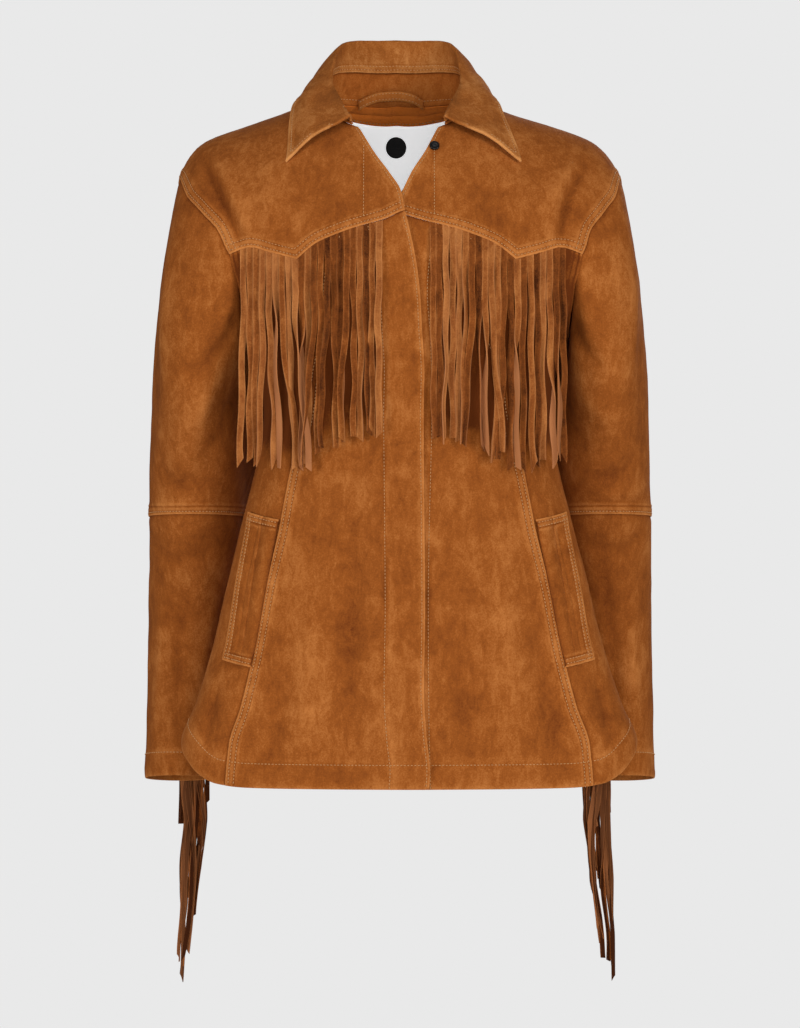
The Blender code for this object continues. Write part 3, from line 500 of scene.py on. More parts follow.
def side_seam_route():
    """From the underarm down to the hem."""
    runs = np.linspace(float(run_of(UNDERARM_LEVEL)), float(hem_run(90.0)), 20)
    return np.stack([np.full(20, 90.0), runs], axis=1)


def join(*routes):
    """Routes end to end, each shared point once."""
    whole = [routes[0]]
    for route in routes[1:]:
        whole.append(route[1:])
    return np.vstack(whole)


def princess_route():
    route = spots(PRINCESS_SEAM)
    share = PRINCESS_HEM_X / float(section(PRINCESS_HEM_LEVEL, "half_width"))
    foot_angle = math.degrees(math.asin(share ** (FRONT_SQUARENESS / 2)))
    foot = np.array([[foot_angle, float(hem_run(foot_angle))]])
    return np.vstack([route, foot])


def front_edge_route(table):
    route = spots(table)
    route[-1, 1] = hem_run(route[-1, 0])
    return route


def hem_route(start, end):
    angles = np.linspace(start, end, 40)
    return np.stack([angles, hem_run(angles)], axis=1)



# ---------------------------------------------------------------- fine sheets
EDGE = (0.0, 0.0006, 0.0013, 0.0021, 0.0030, 0.0039, 0.0050,
        0.0063, 0.0076, 0.0085, 0.0094, 0.0106, 0.0125, 0.0160)
EDGE_END = 0.021             # from here on the rows of a sheet are evenly spaced
PITCH = 0.0034               # from one stitch to the next
FIRST_ROW = 0.0030           # a double row of stitches, from the edge of the upper piece
SECOND_ROW = 0.0085
HEM_ROW = 0.0235             # the hem's own row, above the edge
NEEDLE = 0.0009              # half width of the groove that a row of stitches pulls in
FOLD_DEPTH = 1.35            # how deep the folds are against their tables

Fold = namedtuple("Fold", "x0 z0 x1 z1 x2 z2 rise width")
FRONT_FOLDS = [              # three places on each fold's line, then its height and half width
    Fold(-0.1950, -0.0500, -0.1780, -0.0920, -0.1590, -0.1480, -0.0052, 0.0060),
    Fold(-0.1850, -0.0480, -0.1670, -0.0900, -0.1480, -0.1440, 0.0022, 0.0085),
    Fold(0.1850, -0.0580, 0.1640, -0.0950, 0.1500, -0.1480, -0.0046, 0.0060),
    Fold(0.1740, -0.0560, 0.1530, -0.0920, 0.1390, -0.1420, 0.0020, 0.0090),
    Fold(-0.1200, -0.0550, -0.1300, -0.0850, -0.1250, -0.1250, 0.0016, 0.0130),
    Fold(0.1150, -0.0650, 0.1180, -0.0900, 0.1050, -0.1300, 0.0018, 0.0150),
    Fold(-0.0700, -0.0600, -0.0850, -0.0900, -0.0780, -0.1220, -0.0014, 0.0120),
    Fold(0.0700, -0.0700, 0.0800, -0.0950, 0.0700, -0.1230, -0.0013, 0.0140),
    Fold(-0.1450, -0.1700, -0.1280, -0.2500, -0.1180, -0.3400, -0.0030, 0.0110),
    Fold(0.1400, -0.1750, 0.1260, -0.2400, 0.1200, -0.3200, -0.0028, 0.0120),
    Fold(-0.0530, -0.4300, -0.0560, -0.5300, -0.0600, -0.6300, -0.0030, 0.0150),
    Fold(-0.0900, -0.4700, -0.0960, -0.5600, -0.1050, -0.6600, 0.0026, 0.0190),
    Fold(-0.1220, -0.5600, -0.1280, -0.6100, -0.1360, -0.6700, -0.0022, 0.0120),
    Fold(0.0450, -0.5000, 0.0500, -0.5900, 0.0560, -0.6600, -0.0020, 0.0160),
    Fold(0.0840, -0.4200, 0.0950, -0.5200, 0.1060, -0.6300, 0.0028, 0.0230),
    Fold(0.1280, -0.5200, 0.1360, -0.5900, 0.1450, -0.6600, -0.0022, 0.0140),
    Fold(-0.0100, -0.5200, -0.0080, -0.6000, -0.0030, -0.6500, 0.0014, 0.0110),
    Fold(-0.1860, -0.5700, -0.1950, -0.6100, -0.2020, -0.6350, -0.0020, 0.0090),
    Fold(0.1820, -0.5600, 0.1920, -0.6050, 0.1990, -0.6350, -0.0022, 0.0090),
]
BACK_FOLDS = [
    Fold(-0.1900, -0.0550, -0.1720, -0.1000, -0.1500, -0.1650, -0.0048, 0.0075),
    Fold(-0.1780, -0.0500, -0.1580, -0.0950, -0.1330, -0.1600, 0.0024, 0.0110),
    Fold(0.1880, -0.0560, 0.1690, -0.1020, 0.1520, -0.1600, -0.0044, 0.0070),
    Fold(0.1750, -0.0500, 0.1560, -0.0960, 0.1380, -0.1560, 0.0024, 0.0120),
    Fold(-0.0900, -0.0450, -0.0980, -0.0900, -0.0840, -0.1450, -0.0018, 0.0150),
    Fold(0.0760, -0.0500, 0.0860, -0.1000, 0.0800, -0.1600, -0.0016, 0.0170),
    Fold(-0.1380, -0.2300, -0.0900, -0.2550, -0.0350, -0.2600, -0.0032, 0.0130),
    Fold(0.1360, -0.2450, 0.0900, -0.2700, 0.0400, -0.2780, -0.0030, 0.0120),
    Fold(-0.1300, -0.3000, -0.0850, -0.3150, -0.0450, -0.3100, 0.0024, 0.0150),
    Fold(0.1280, -0.3050, 0.0800, -0.3300, 0.0250, -0.3350, 0.0026, 0.0140),
    Fold(-0.0450, -0.3900, -0.0520, -0.5100, -0.0600, -0.6500, -0.0038, 0.0160),
    Fold(-0.0900, -0.4200, -0.1040, -0.5400, -0.1180, -0.6700, 0.0034, 0.0200),
    Fold(-0.1300, -0.4300, -0.1480, -0.5400, -0.1640, -0.6500, -0.0030, 0.0140),
    Fold(0.0300, -0.4100, 0.0350, -0.5400, 0.0380, -0.6800, 0.0030, 0.0180),
    Fold(0.0720, -0.4000, 0.0850, -0.5200, 0.0930, -0.6600, -0.0036, 0.0150),
    Fold(0.1200, -0.4400, 0.1380, -0.5500, 0.1520, -0.6600, 0.0028, 0.0170),
]

SleeveFold = namedtuple("SleeveFold", "turn0 z0 turn1 z1 turn2 z2 rise width")
SLEEVE_FOLDS = [             # turn is degrees round the sleeve: 0 outside, 90 in front, 180 inside
    SleeveFold(150, -0.190, 120, -0.245, 80, -0.275, -0.0034, 0.0100),
    SleeveFold(140, -0.235, 105, -0.300, 62, -0.330, 0.0026, 0.0130),
    SleeveFold(160, -0.270, 128, -0.325, 100, -0.350, -0.0026, 0.0110),
    SleeveFold(60, -0.130, 52, -0.220, 66, -0.310, 0.0018, 0.0150),
    SleeveFold(172, -0.226, 186, -0.250, 196, -0.280, 0.0045, 0.0110),
    SleeveFold(20, -0.180, 34, -0.270, 28, -0.360, -0.0018, 0.0150),
    SleeveFold(40, -0.352, 80, -0.372, 122, -0.366, -0.0026, 0.0080),
    SleeveFold(20, -0.376, 62, -0.392, 100, -0.390, 0.0018, 0.0070),
    SleeveFold(30, -0.428, 74, -0.446, 130, -0.436, -0.0024, 0.0085),
    SleeveFold(96, -0.452, 88, -0.540, 100, -0.640, -0.0024, 0.0120),
    SleeveFold(52, -0.480, 60, -0.560, 50, -0.650, 0.0018, 0.0130),
    SleeveFold(140, -0.470, 128, -0.560, 134, -0.650, 0.0020, 0.0120),
    SleeveFold(215, -0.200, 245, -0.262, 285, -0.296, -0.0036, 0.0110),
    SleeveFold(225, -0.262, 256, -0.318, 300, -0.338, 0.0028, 0.0130),
    SleeveFold(300, -0.140, 306, -0.230, 296, -0.330, -0.0020, 0.0150),
    SleeveFold(210, -0.330, 250, -0.368, 300, -0.372, -0.0034, 0.0100),
    SleeveFold(230, -0.384, 262, -0.400, 320, -0.398, 0.0022, 0.0080),
    SleeveFold(306, -0.430, 300, -0.530, 312, -0.650, -0.0024, 0.0120),
    SleeveFold(200, -0.440, 214, -0.540, 206, -0.650, 0.0024, 0.0130),
]
SLEEVE_RADIUS = 0.046


def fine(route):
    """A smooth, finely divided route of angles and runs, and the length on the form up to each point."""
    scale = np.array([METRES_PER_DEGREE, 1.0])
    line = through(route * scale) / scale
    return line, lengths(form(line[:, 0], line[:, 1]))


def spaced(total, parts, first=(), last=()):
    """Places along a length: close together at an end that is sewn, and evenly spaced between."""
    low = EDGE_END if first else 0.0
    high = total - EDGE_END if last else total
    return np.concatenate([first, np.linspace(low, high, parts + 1), total - np.array(last[::-1])])


def along(route, parts, first=(), last=()):
    line, length = fine(route)
    at = spaced(length[-1], parts, first, last)
    return np.stack([np.interp(at, length, line[:, k]) for k in range(2)], axis=1)


def share_of(edge):
    length = lengths(edge * np.array([METRES_PER_DEGREE, 1.0]))
    return length / length[-1]


def bow(edge, share):
    """How far the points of an edge stand off the straight line between its ends."""
    return edge - ((1 - share) * edge[0] + share * edge[-1])


def patch(bottom, top, left, right, top_ease=1, side_ease=1):
    """Fills four edges with a grid: bottom and top run left to right, left and right run upward."""
    u = ((share_of(bottom) + share_of(top)) / 2)[:, None]
    v = ((share_of(left) + share_of(right)) / 2)[:, None]
    across = (1 - v[:, None]) * bow(bottom, u)[None] + v[:, None] ** top_ease * bow(top, u)[None]
    up = (1 - u[None]) ** side_ease * bow(left, v)[:, None] + u[None] ** side_ease * bow(right, v)[:, None]
    low = (1 - u) * bottom[0] + u * bottom[-1]
    high = (1 - u) * top[0] + u * top[-1]
    return (1 - v[:, None]) * low[None] + v[:, None] * high[None] + across + up


def lap(points):
    """How far the right front and yoke rise to lie over the left ones."""
    from_edge = smooth_step((0.050 + points[..., 0]) / 0.030)
    below_v = smooth_step((-0.062 - points[..., 2]) / 0.026)
    return LAP_RISE * from_edge * below_v


def mirrored(route, side):
    route = np.array(route, dtype=float)
    route[..., 0] *= side
    return route


def around(route):
    """Angles of the right side counted on past 180 degrees, so that the back is one stretch."""
    route = np.array(route, dtype=float)
    route[..., 0] += 360.0
    return route


def surface_normals(points):
    across = np.gradient(points, axis=1)
    up = np.gradient(points, axis=0)
    out = np.cross(across, up)
    return out / np.maximum(np.linalg.norm(out, axis=-1, keepdims=True), 1e-12)


def distance_to(line, points):
    """How far each point is from a line, and what share of the line lies before its nearest place."""
    flat = points.reshape(-1, 3)
    run = lengths(line)
    nearest = np.full(len(flat), 1e9)
    share = np.zeros(len(flat))
    for k in range(len(line) - 1):
        way = line[k + 1] - line[k]
        t = np.clip((flat - line[k]) @ way / max(way @ way, 1e-14), 0.0, 1.0)
        gap = np.linalg.norm(flat - line[k] - t[:, None] * way, axis=1)
        closer = gap < nearest
        nearest[closer] = gap[closer]
        share[closer] = (run[k] + t[closer] * (run[k + 1] - run[k])) / run[-1]
    return nearest.reshape(points.shape[:-1]), share.reshape(points.shape[:-1])


def bump_row(d, at, half=NEEDLE):
    return np.exp(-((d - at) / half) ** 2)


Seam = namedtuple("Seam", "rise rub")


def over(d):
    """The upper piece of a lapped seam: a thicker band with two rows of stitches, rubbed pale, with painted shade in
    the stitch grooves.
    """
    band = 1 - smooth_step((d - 0.0098) / 0.0035)
    grooves = bump_row(d, FIRST_ROW) + bump_row(d, SECOND_ROW)
    rise = 0.0009 * band - 0.0005 * grooves - 0.0005 * bump_row(d, 0.0, 0.0009)
    return Seam(rise, 0.8 * np.exp(-d / 0.0014) + 0.42 * band - 0.75 * grooves)


def under(d):
    """The piece below: it dips beneath the other's edge, and is painted dark there as that edge's shade."""
    return Seam(-0.0007 * np.exp(-(d / 0.0035) ** 2), -0.8 * np.exp(-d / 0.0016))


def turned(d):
    """A free edge turned in and stitched once."""
    band = 1 - smooth_step((d - 0.0042) / 0.004)
    rise = 0.0006 * band - 0.0004 * bump_row(d, FIRST_ROW) - 0.0005 * bump_row(d, 0.0, 0.0010)
    return Seam(rise, 0.7 * np.exp(-d / 0.0018) + 0.2 * band)


def hemmed(d):
    """A deep hem with a row of stitches along its top."""
    band = 1 - smooth_step((d - HEM_ROW) / 0.004)
    rise = 0.0005 * band - 0.0006 * bump_row(d, HEM_ROW, 0.0013) - 0.0005 * bump_row(d, 0.0, 0.0012)
    return Seam(rise, 0.55 * np.exp(-d / 0.0025) + 0.3 * bump_row(d, HEM_ROW + 0.002, 0.002))


def plain(d):
    """A seam pressed open."""
    return Seam(-0.0007 * np.exp(-(d / 0.0016) ** 2), 0.35 * np.exp(-((d - 0.0018) / 0.0012) ** 2))


def fold_lines(table, behind):
    """The lines of a table of folds on the form, smooth and finely divided."""
    lines = []
    for f in table:
        xz = through([(f.x0, f.z0), (f.x1, f.z1), (f.x2, f.z2)])[::6]
        angle, run = on_form(xz[:, 0], xz[:, 1], behind)
        lines.append((form(angle, run), f.rise, f.width))
    return lines


def folded(points, lines):
    """The height of soft folds, which die out towards both ends of their lines."""
    rise = np.zeros(points.shape[:-1])
    for line, height, width in lines:
        d, share = distance_to(line, points)
        ends = np.clip(np.sin(math.pi * np.clip(share, 0.0, 1.0)), 0.0, 1.0) ** 0.7
        rise += FOLD_DEPTH * height * ends / (1 + (d / width) ** 2) ** 2
    return rise


def waves(points, size, seed):
    """Slow, irregular swelling of the leather, from -1 to 1."""
    shift = Vector((seed * 1.7, seed * 0.9, seed * 2.3))
    flat = points.reshape(-1, 3) / size
    found = [noise.noise(Vector(p) + shift) for p in flat]
    return np.array(found).reshape(points.shape[:-1])


def relief(base, seams_here, lines, seed):
    """How far cloth stands off the form, how rubbed it is with painted shade at seams, and how high it lies in its
    folds, which also paints shade and light on them.
    """
    fold = folded(base, lines)
    soft = 0.0011 * waves(base, 0.055, seed) + 0.0004 * waves(base, 0.018, seed + 5)
    near = np.full(base.shape[:-1], 1e9)
    rise = np.zeros(base.shape[:-1])
    rub = np.zeros(base.shape[:-1])
    fields = []
    for line, kind in seams_here:
        d, _ = distance_to(line, base)
        seam = kind(d)
        rise += seam.rise
        rub = np.where(np.abs(seam.rub) > np.abs(rub), seam.rub, rub)
        near = np.minimum(near, d)
        fields.append(d)
    pucker = 0.00035 * waves(base, 0.006, seed + 9) * np.exp(-((near - 0.007) / 0.006) ** 2)
    calm = smooth_step(near / 0.02)
    height = fold + soft * (0.35 + 0.65 * calm)
    return height + rise + pucker, rub, height / 0.0030, fields


def sleeve_ring(z, turn, side):
    """Points round the sleeve at a height; turn 0 is the outer side and 90 degrees the front."""
    heights = column(SLEEVE_RINGS, "z")[::-1]
    size = {name: smooth(z, heights, column(SLEEVE_RINGS, name)[::-1]) for name in Ring._fields[1:]}
    mid_x = (size["outer"] + size["inner"]) / 2
    mid_y = (size["front"] + size["back"]) / 2
    x = mid_x + (size["outer"] - size["inner"]) / 2 * np.cos(turn)
    x = x - size["tuck"] * np.exp(-((turn - TUCK_TURN) / TUCK_SPREAD) ** 2)
    y = mid_y - (size["back"] - size["front"]) / 2 * np.sin(turn)
    return np.stack([side * x + SLEEVE_CENTRE, y, z - size["tilt"] * (y - mid_y)], axis=-1)


def spread(points, start, end):
    """Shares an angle out along a line of points by length."""
    length = lengths(points)
    return start + (end - start) * length / length[-1]


def neck_seam_points(stations):
    """Points on the neck seam for collar stations, on the wearer's left side."""
    back = neck_route(back=True)[::-1]
    front = neck_route(back=False)
    place = np.vstack([form(back[:, 0], back[:, 1]), form(front[1:, 0], front[1:, 1])])
    place[:, 0] -= SECTIONS[0].drift
    place[0, 0] = 0.0
    inside = place[:, 0] >= COLLAR_END
    inside[: len(back)] = True
    place = place[inside]
    length = lengths(place)
    return np.stack([np.interp(stations * length[-1], length, place[:, k]) for k in range(3)], axis=1)


def collar_profiles(cols):
    """For each station from the right end to the left: neck seam, stand top and the fall's line."""
    station = np.linspace(-1.0, 1.0, cols + 1)
    here = np.abs(station)
    at = column(COLLAR, "station")
    base = neck_seam_points(here)
    roll = np.stack([smooth(here, at, column(COLLAR, "roll_" + k)) for k in "xyz"], axis=1)
    edge = np.stack([smooth(here, at, column(COLLAR, "edge_" + k)) for k in "xyz"], axis=1)
    for points in (base, roll, edge):
        lean = COLLAR_LEAN * smooth_step(points[:, 2] / COLLAR_TIP_Z)
        points[:, 0] = points[:, 0] * np.sign(station) + SECTIONS[0].drift + lean
    base = base + np.array([0.0, 0.0, 0.0016])
    share = STAND_SHARE - STAND_TAPER * smooth_step((here - 0.6) / 0.4)
    stand_top = base + (roll - base) * share[:, None]
    away = edge - roll
    away[:, 2] = 0.0
    away /= np.linalg.norm(away, axis=1, keepdims=True)
    down = np.array([0.0, 0.0, -ROLL_RADIUS])
    shrink = (0.45 + 0.55 * smooth_step((1.0 - here) / 0.3))[:, None]
    roll_in = base + (roll - base) * 0.88
    roll_out = roll + (down + away * ROLL_RADIUS * 1.4) * shrink
    middle = (roll_out + edge) / 2 + (away * 0.7 + np.array([0.0, 0.0, 0.7])) * LEAF_CROWN
    return base, stand_top, [stand_top, roll_in, roll, roll_out, middle, edge]


# ---------------------------------------------------------------- finishes
def linear(code):
    """An sRGB hex colour as linear red, green and blue."""
    parts = [int(code[k:k + 2], 16) / 255 for k in (1, 3, 5)]
    return tuple(c / 12.92 if c <= 0.04045 else ((c + 0.055) / 1.055) ** 2.4 for c in parts)


def add(tree, kind, values=None, **settings):
    """Adds a node with its settings; each of its values is a constant, or an output that is linked to it."""
    node = tree.nodes.new(kind)
    for key, value in settings.items():
        setattr(node, key, value)
    for key, value in (values or {}).items():
        if isinstance(value, bpy.types.NodeSocket):
            tree.links.new(value, node.inputs[key])
        else:
            node.inputs[key].default_value = value
    return node


def new_material(name):
    made = bpy.data.materials.new(name)
    made.use_nodes = True
    made.node_tree.nodes.clear()
    return made, made.node_tree


def speckle(tree, place, size, detail=2.0, roughness=0.55, distortion=0.0):
    """Noise whose features are about so many metres across."""
    return add(tree, "ShaderNodeTexNoise", {"Vector": place, "Scale": 1 / size, "Detail": detail,
                                            "Roughness": roughness, "Distortion": distortion}).outputs["Fac"]


def weighted(tree, start, terms):
    """start plus each weight times how far its value lies from its middle."""
    total = start
    for value, middle, weight in terms:
        part = add(tree, "ShaderNodeMath", {0: value, 1: weight, 2: -middle * weight},
                   operation="MULTIPLY_ADD").outputs[0]
        total = add(tree, "ShaderNodeMath", {0: part, 1: total}, operation="ADD").outputs[0]
    return total


def suede(name, dark, middle, light, flesh=None):
    """Buckskin split leather with a brushed nap: matt, cloudy as the nap lies this way and that, pale where rubbed,
    and painted darker or paler where shade and light are painted in.

    The clouds are 20 to 50 mm across, the brush marks 10 mm and the nap's tufts 1.5 mm; single hairs of 0.05 mm
    are too fine to show, so the finest grain is drawn at 0.7 mm.
    """
    if name in bpy.data.materials:
        return bpy.data.materials[name]
    made, tree = new_material(name)
    place = add(tree, "ShaderNodeTexCoord").outputs["Object"]
    rub = add(tree, "ShaderNodeAttribute", attribute_name="rub").outputs["Fac"]
    fold = add(tree, "ShaderNodeAttribute", attribute_name="fold").outputs["Fac"]
    hung = add(tree, "ShaderNodeVectorMath", {0: place, 1: (1.0, 1.0, 0.45)}, operation="MULTIPLY").outputs[0]
    cloud = speckle(tree, place, 0.045, 4.0, 0.6, 0.6)
    brush = speckle(tree, hung, 0.0090, 4.0, 0.62, 0.9)
    tuft = speckle(tree, place, 0.0016, 2.0)
    grain = speckle(tree, place, 0.0007, 1.0)
    # the rubbing value also carries painted shade and light; the fold value paints shade in fold troughs and light on
    # their crests
    tone = weighted(tree, 0.5, ((cloud, 0.5, 0.68), (brush, 0.5, 0.60), (tuft, 0.5, 0.42), (grain, 0.5, 0.26),
                                (rub, 0.0, 0.46), (fold, 0.0, 0.15)))
    ramp = add(tree, "ShaderNodeValToRGB", {"Fac": tone})
    stops = ramp.color_ramp.elements
    stops[0].position, stops[0].color = 0.08, (*linear(dark), 1.0)
    stops[1].position, stops[1].color = 0.96, (*linear(light), 1.0)
    between = stops.new(0.5)
    between.color = (*linear(middle), 1.0)
    colour = ramp.outputs["Color"]
    if flesh:
        flesh_side = add(tree, "ShaderNodeAttribute", attribute_name="flesh").outputs["Fac"]
        side = weighted(tree, 0.0, ((flesh_side, 0.0, 0.8), (rub, 0.0, 0.45)))
        colour = add(tree, "ShaderNodeMix", {"Factor": side, "A": colour, "B": (*linear(flesh), 1.0)},
                     data_type="RGBA").outputs["Result"]
    height = weighted(tree, 0.0, ((tuft, 0.5, 0.8), (grain, 0.5, 0.5), (brush, 0.5, 0.8)))
    bumped = add(tree, "ShaderNodeBump", {"Height": height, "Strength": 0.55, "Distance": 0.0006})
    shader = add(tree, "ShaderNodeBsdfPrincipled", {
        "Base Color": colour, "Roughness": 0.92, "Specular IOR Level": 0.1, "Sheen Weight": 0.07,
        "Sheen Roughness": 0.55, "Sheen Tint": (*linear("#C98A52"), 1.0), "Normal": bumped.outputs["Normal"]})
    add(tree, "ShaderNodeOutputMaterial", {"Surface": shader.outputs[0]})
    return made


def plain_finish(name, colour, roughness, grain_size, depth, variation, **sockets):
    """A material of one colour with fine unevenness in its tone and height."""
    if name in bpy.data.materials:
        return bpy.data.materials[name]
    made, tree = new_material(name)
    place = add(tree, "ShaderNodeTexCoord").outputs["Object"]
    grain = speckle(tree, place, grain_size, 3.0)
    dark = tuple(c * (1 - variation) for c in linear(colour))
    tone = add(tree, "ShaderNodeMix", {"Factor": grain, "A": (*dark, 1.0), "B": (*linear(colour), 1.0)},
               data_type="RGBA").outputs["Result"]
    bumped = add(tree, "ShaderNodeBump", {"Height": grain, "Strength": 0.5, "Distance": depth})
    shader = add(tree, "ShaderNodeBsdfPrincipled",
                 {"Base Color": tone, "Roughness": roughness, "Normal": bumped.outputs["Normal"]})
    for key, value in sockets.items():
        shader.inputs[key.replace("_", " ")].default_value = value
    add(tree, "ShaderNodeOutputMaterial", {"Surface": shader.outputs[0]})
    return made


def woven_label():
    """Satin-woven polyester label cloth: white and even, with threads of 0.7 mm that just show.

    It lies deep in the shade of the neck, and its emission, far stronger than an optical brightener gives, is painted
    light that makes it read as the brightest thing on the jacket.
    """
    name = "woven_polyester_label"
    if name in bpy.data.materials:
        return bpy.data.materials[name]
    made, tree = new_material(name)
    place = add(tree, "ShaderNodeTexCoord").outputs["Object"]
    threads = []
    for axis in ("X", "Z"):
        wave = add(tree, "ShaderNodeTexWave", {"Vector": place, "Scale": 1 / (20 * 0.0007)},
                   wave_type="BANDS", bands_direction=axis)
        threads.append(wave.outputs["Fac"])
    height = add(tree, "ShaderNodeMath", {0: threads[0], 1: threads[1]}, operation="MULTIPLY").outputs[0]
    soil = speckle(tree, place, 0.02, 3.0)
    tone = weighted(tree, 0.7, ((height, 0.25, 0.25), (soil, 0.5, 0.5)))
    colour = add(tree, "ShaderNodeMix", {"Factor": tone, "A": (*linear("#EBEBE8"), 1.0),
                                         "B": (*linear("#FAFAF8"), 1.0)}, data_type="RGBA").outputs["Result"]
    bumped = add(tree, "ShaderNodeBump", {"Height": height, "Strength": 0.4, "Distance": 0.0001})
    # the emission is painted light on the label
    shader = add(tree, "ShaderNodeBsdfPrincipled", {
        "Base Color": colour, "Roughness": 0.62, "Normal": bumped.outputs["Normal"],
        "Emission Color": (*linear("#F2F4F6"), 1.0), "Emission Strength": LABEL_PAINTED_GLOW})
    add(tree, "ShaderNodeOutputMaterial", {"Surface": shader.outputs[0]})
    return made


def body_suede():
    return suede("brushed_suede", "#602C0A", "#8C4B19", "#BA753B")


def lining_suede():
    return suede("brushed_suede_inside", "#64300B", "#944F1B", "#BA7438")


def fringe_suede():
    return suede("cut_suede_strands", "#381704", "#7C4117", "#B4733B", flesh="#A2673F")


def thread():
    """Bonded polyester thread: tan and slightly glossy, lighter than the suede that it sinks into."""
    return plain_finish("polyester_thread", "#C28A52", 0.6, 0.0006, 0.0001, 0.35)


def enamelled_snap():
    """Black enamelled brass: smooth and dark, with a soft highlight on its rim."""
    return plain_finish("black_enamelled_brass", "#0E0E0F", 0.3, 0.0011, 0.00002, 0.3, Metallic=0.6)


def disc_print():
    """Black satin weave in the label, duller than enamel."""
    return plain_finish("black_satin_weave", "#121212", 0.7, 0.0006, 0.00005, 0.4)


# ---------------------------------------------------------------- pieces
made_sheets = {}             # each sheet's object by its node's name
stitch_rows = {}             # lines of stitches, with their outward directions, by the node they are sewn on


def mesh_object(name, verts, faces, finish, **fields):
    """An object at the origin from points and faces, with its finish and its values by point."""
    mesh = bpy.data.meshes.new(name)
    mesh.from_pydata(np.asarray(verts, dtype=float).tolist(), [], faces)
    mesh.materials.append(finish)
    for key, values in fields.items():
        mesh.attributes.new(key, "FLOAT", "POINT").data.foreach_set("value", np.asarray(values).ravel())
    mesh.shade_smooth()
    made = bpy.data.objects.new(name, mesh)
    bpy.context.scene.collection.objects.link(made)
    return made


def grid_faces(rows, cols, closed=False, flip=False, first=0):
    faces = []
    for r in range(rows - 1):
        for c in range(cols if closed else cols - 1):
            d = (c + 1) % cols
            face = (first + r * cols + c, first + r * cols + d,
                    first + (r + 1) * cols + d, first + (r + 1) * cols + c)
            faces.append(face[::-1] if flip else face)
    return faces


def cloth(node, points, finish, rub=0.0, fold=0.0, wall=WALL, closed=False, flip=False):
    """A wall of cloth that stands for the solid of its node."""
    rows, cols = points.shape[:2]
    spread_out = np.zeros((rows, cols))
    made = mesh_object(node + "_sheet", points.reshape(-1, 3), grid_faces(rows, cols, closed, flip), finish,
                       rub=spread_out + rub, fold=np.clip(spread_out + fold, -1.5, 1.5))
    shell = made.modifiers.new("wall", "SOLIDIFY")
    shell.thickness = wall
    shell.offset = 0.0
    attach(made, "root")
    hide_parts(node)
    made_sheets[node] = made
    return made


def sew(node, line, out, trim=0.004):
    """Keeps a row of stitches for the node, from a line on its surface; it stops short of the line's ends."""
    length = lengths(line)
    if length[-1] < 2 * trim + 2 * PITCH:
        return
    at = np.arange(trim, length[-1] - trim, PITCH)
    place = np.stack([np.interp(at, length, line[:, k]) for k in range(3)], axis=1)
    ahead = np.stack([np.interp(at + 0.001, length, line[:, k]) for k in range(3)], axis=1)
    lean = np.stack([np.interp(at, length, out[:, k]) for k in range(3)], axis=1)
    stitch_rows.setdefault(node, []).append((place, ahead - place, lean))


def row_at(points, out, field, at, across, far=False):
    """The line on a sheet where its distance from an edge is `at`, found along its rows or columns."""
    if across == 1:
        points, out, field = points.transpose(1, 0, 2), out.transpose(1, 0, 2), field.T
    if far:
        points, out, field = points[::-1], out[::-1], field[::-1]
    line = []
    lean = []
    for c in range(points.shape[1]):
        beyond = np.nonzero(field[:, c] >= at)[0]
        if len(beyond) == 0 or beyond[0] == 0:
            continue
        i = beyond[0]
        t = (at - field[i - 1, c]) / max(field[i, c] - field[i - 1, c], 1e-9)
        line.append(points[i - 1, c] + t * (points[i, c] - points[i - 1, c]))
        lean.append(out[i, c])
    return np.array(line), np.array(lean)


def routes_of(side):
    """Every seam of one side as routes of angles and runs."""
    edge_table = FRONT_EDGE_RIGHT if side < 0 else FRONT_EDGE_LEFT
    front_edge = front_edge_route(edge_table)
    princess = princess_route()
    found = {
        "front_edge": front_edge,
        "v_edge": np.vstack([spots(V_EDGE), front_edge[:1]]),
        "yoke_inner": np.vstack([front_edge[:1], spots(YOKE_SEAM_INNER)]),
        "yoke_dip": spots(YOKE_SEAM_DIP),
        "yoke_outer": spots(YOKE_SEAM_OUTER),
        "arm_front": start_on_ridge(spots(ARMHOLE_FRONT)),
        "arm_low": np.vstack([spots(ARMHOLE_LOW), [[90.0, float(run_of(UNDERARM_LEVEL))]]]),
        "arm_back": armhole_back_route(),
        "side": side_seam_route(),
        "princess": princess,
        "neck_front": neck_route(back=False),
        "neck_back": neck_route(back=True),
        "shoulder_front": shoulder_route(behind=False),
        "shoulder_back": shoulder_route(behind=True),
        "hem_front": hem_route(front_edge[-1, 0], princess[-1, 0]),
        "hem_side": hem_route(princess[-1, 0], 90.0),
    }
    return found


def start_on_ridge(route):
    route = np.array(route)
    route[0, 1] = 0.0
    return route


def lay(grid, side, seams_here, lines, right_front=False, seed=1):
    """A panel on the form with its relief: points, outward directions, rubbing, folds and seam distances."""
    grid = mirrored(grid, side)
    base = form(grid[..., 0], grid[..., 1])
    out = normal(grid[..., 0], grid[..., 1])
    edges = [(form(*mirrored(route, side).T), kind) for route, kind in seams_here]
    height, rub, fold, fields = relief(base, edges, lines, seed)
    if right_front:
        height = height + lap(base)
    return base + out * height[..., None], out, rub, fold, fields


def dense(route):
    return fine(np.asarray(route))[0][::3]


def painted_fringe_shadow(points, side, seam):
    """From 0 to 1, how far cloth lies under the strands, where it is painted darker as their shadow."""
    start = FRINGE_START_LEFT if side > 0 else FRINGE_START_RIGHT
    order = np.argsort(side * seam[:, 0])
    x = side * points[..., 0]
    below = np.interp(x, side * seam[order, 0], seam[order, 2]) - points[..., 2]
    return (smooth_step((x - start - 0.002) / 0.006) * smooth_step(below / 0.004)
            * (1 - smooth_step((below - FRINGE_LENGTH + 0.034) / 0.020)))


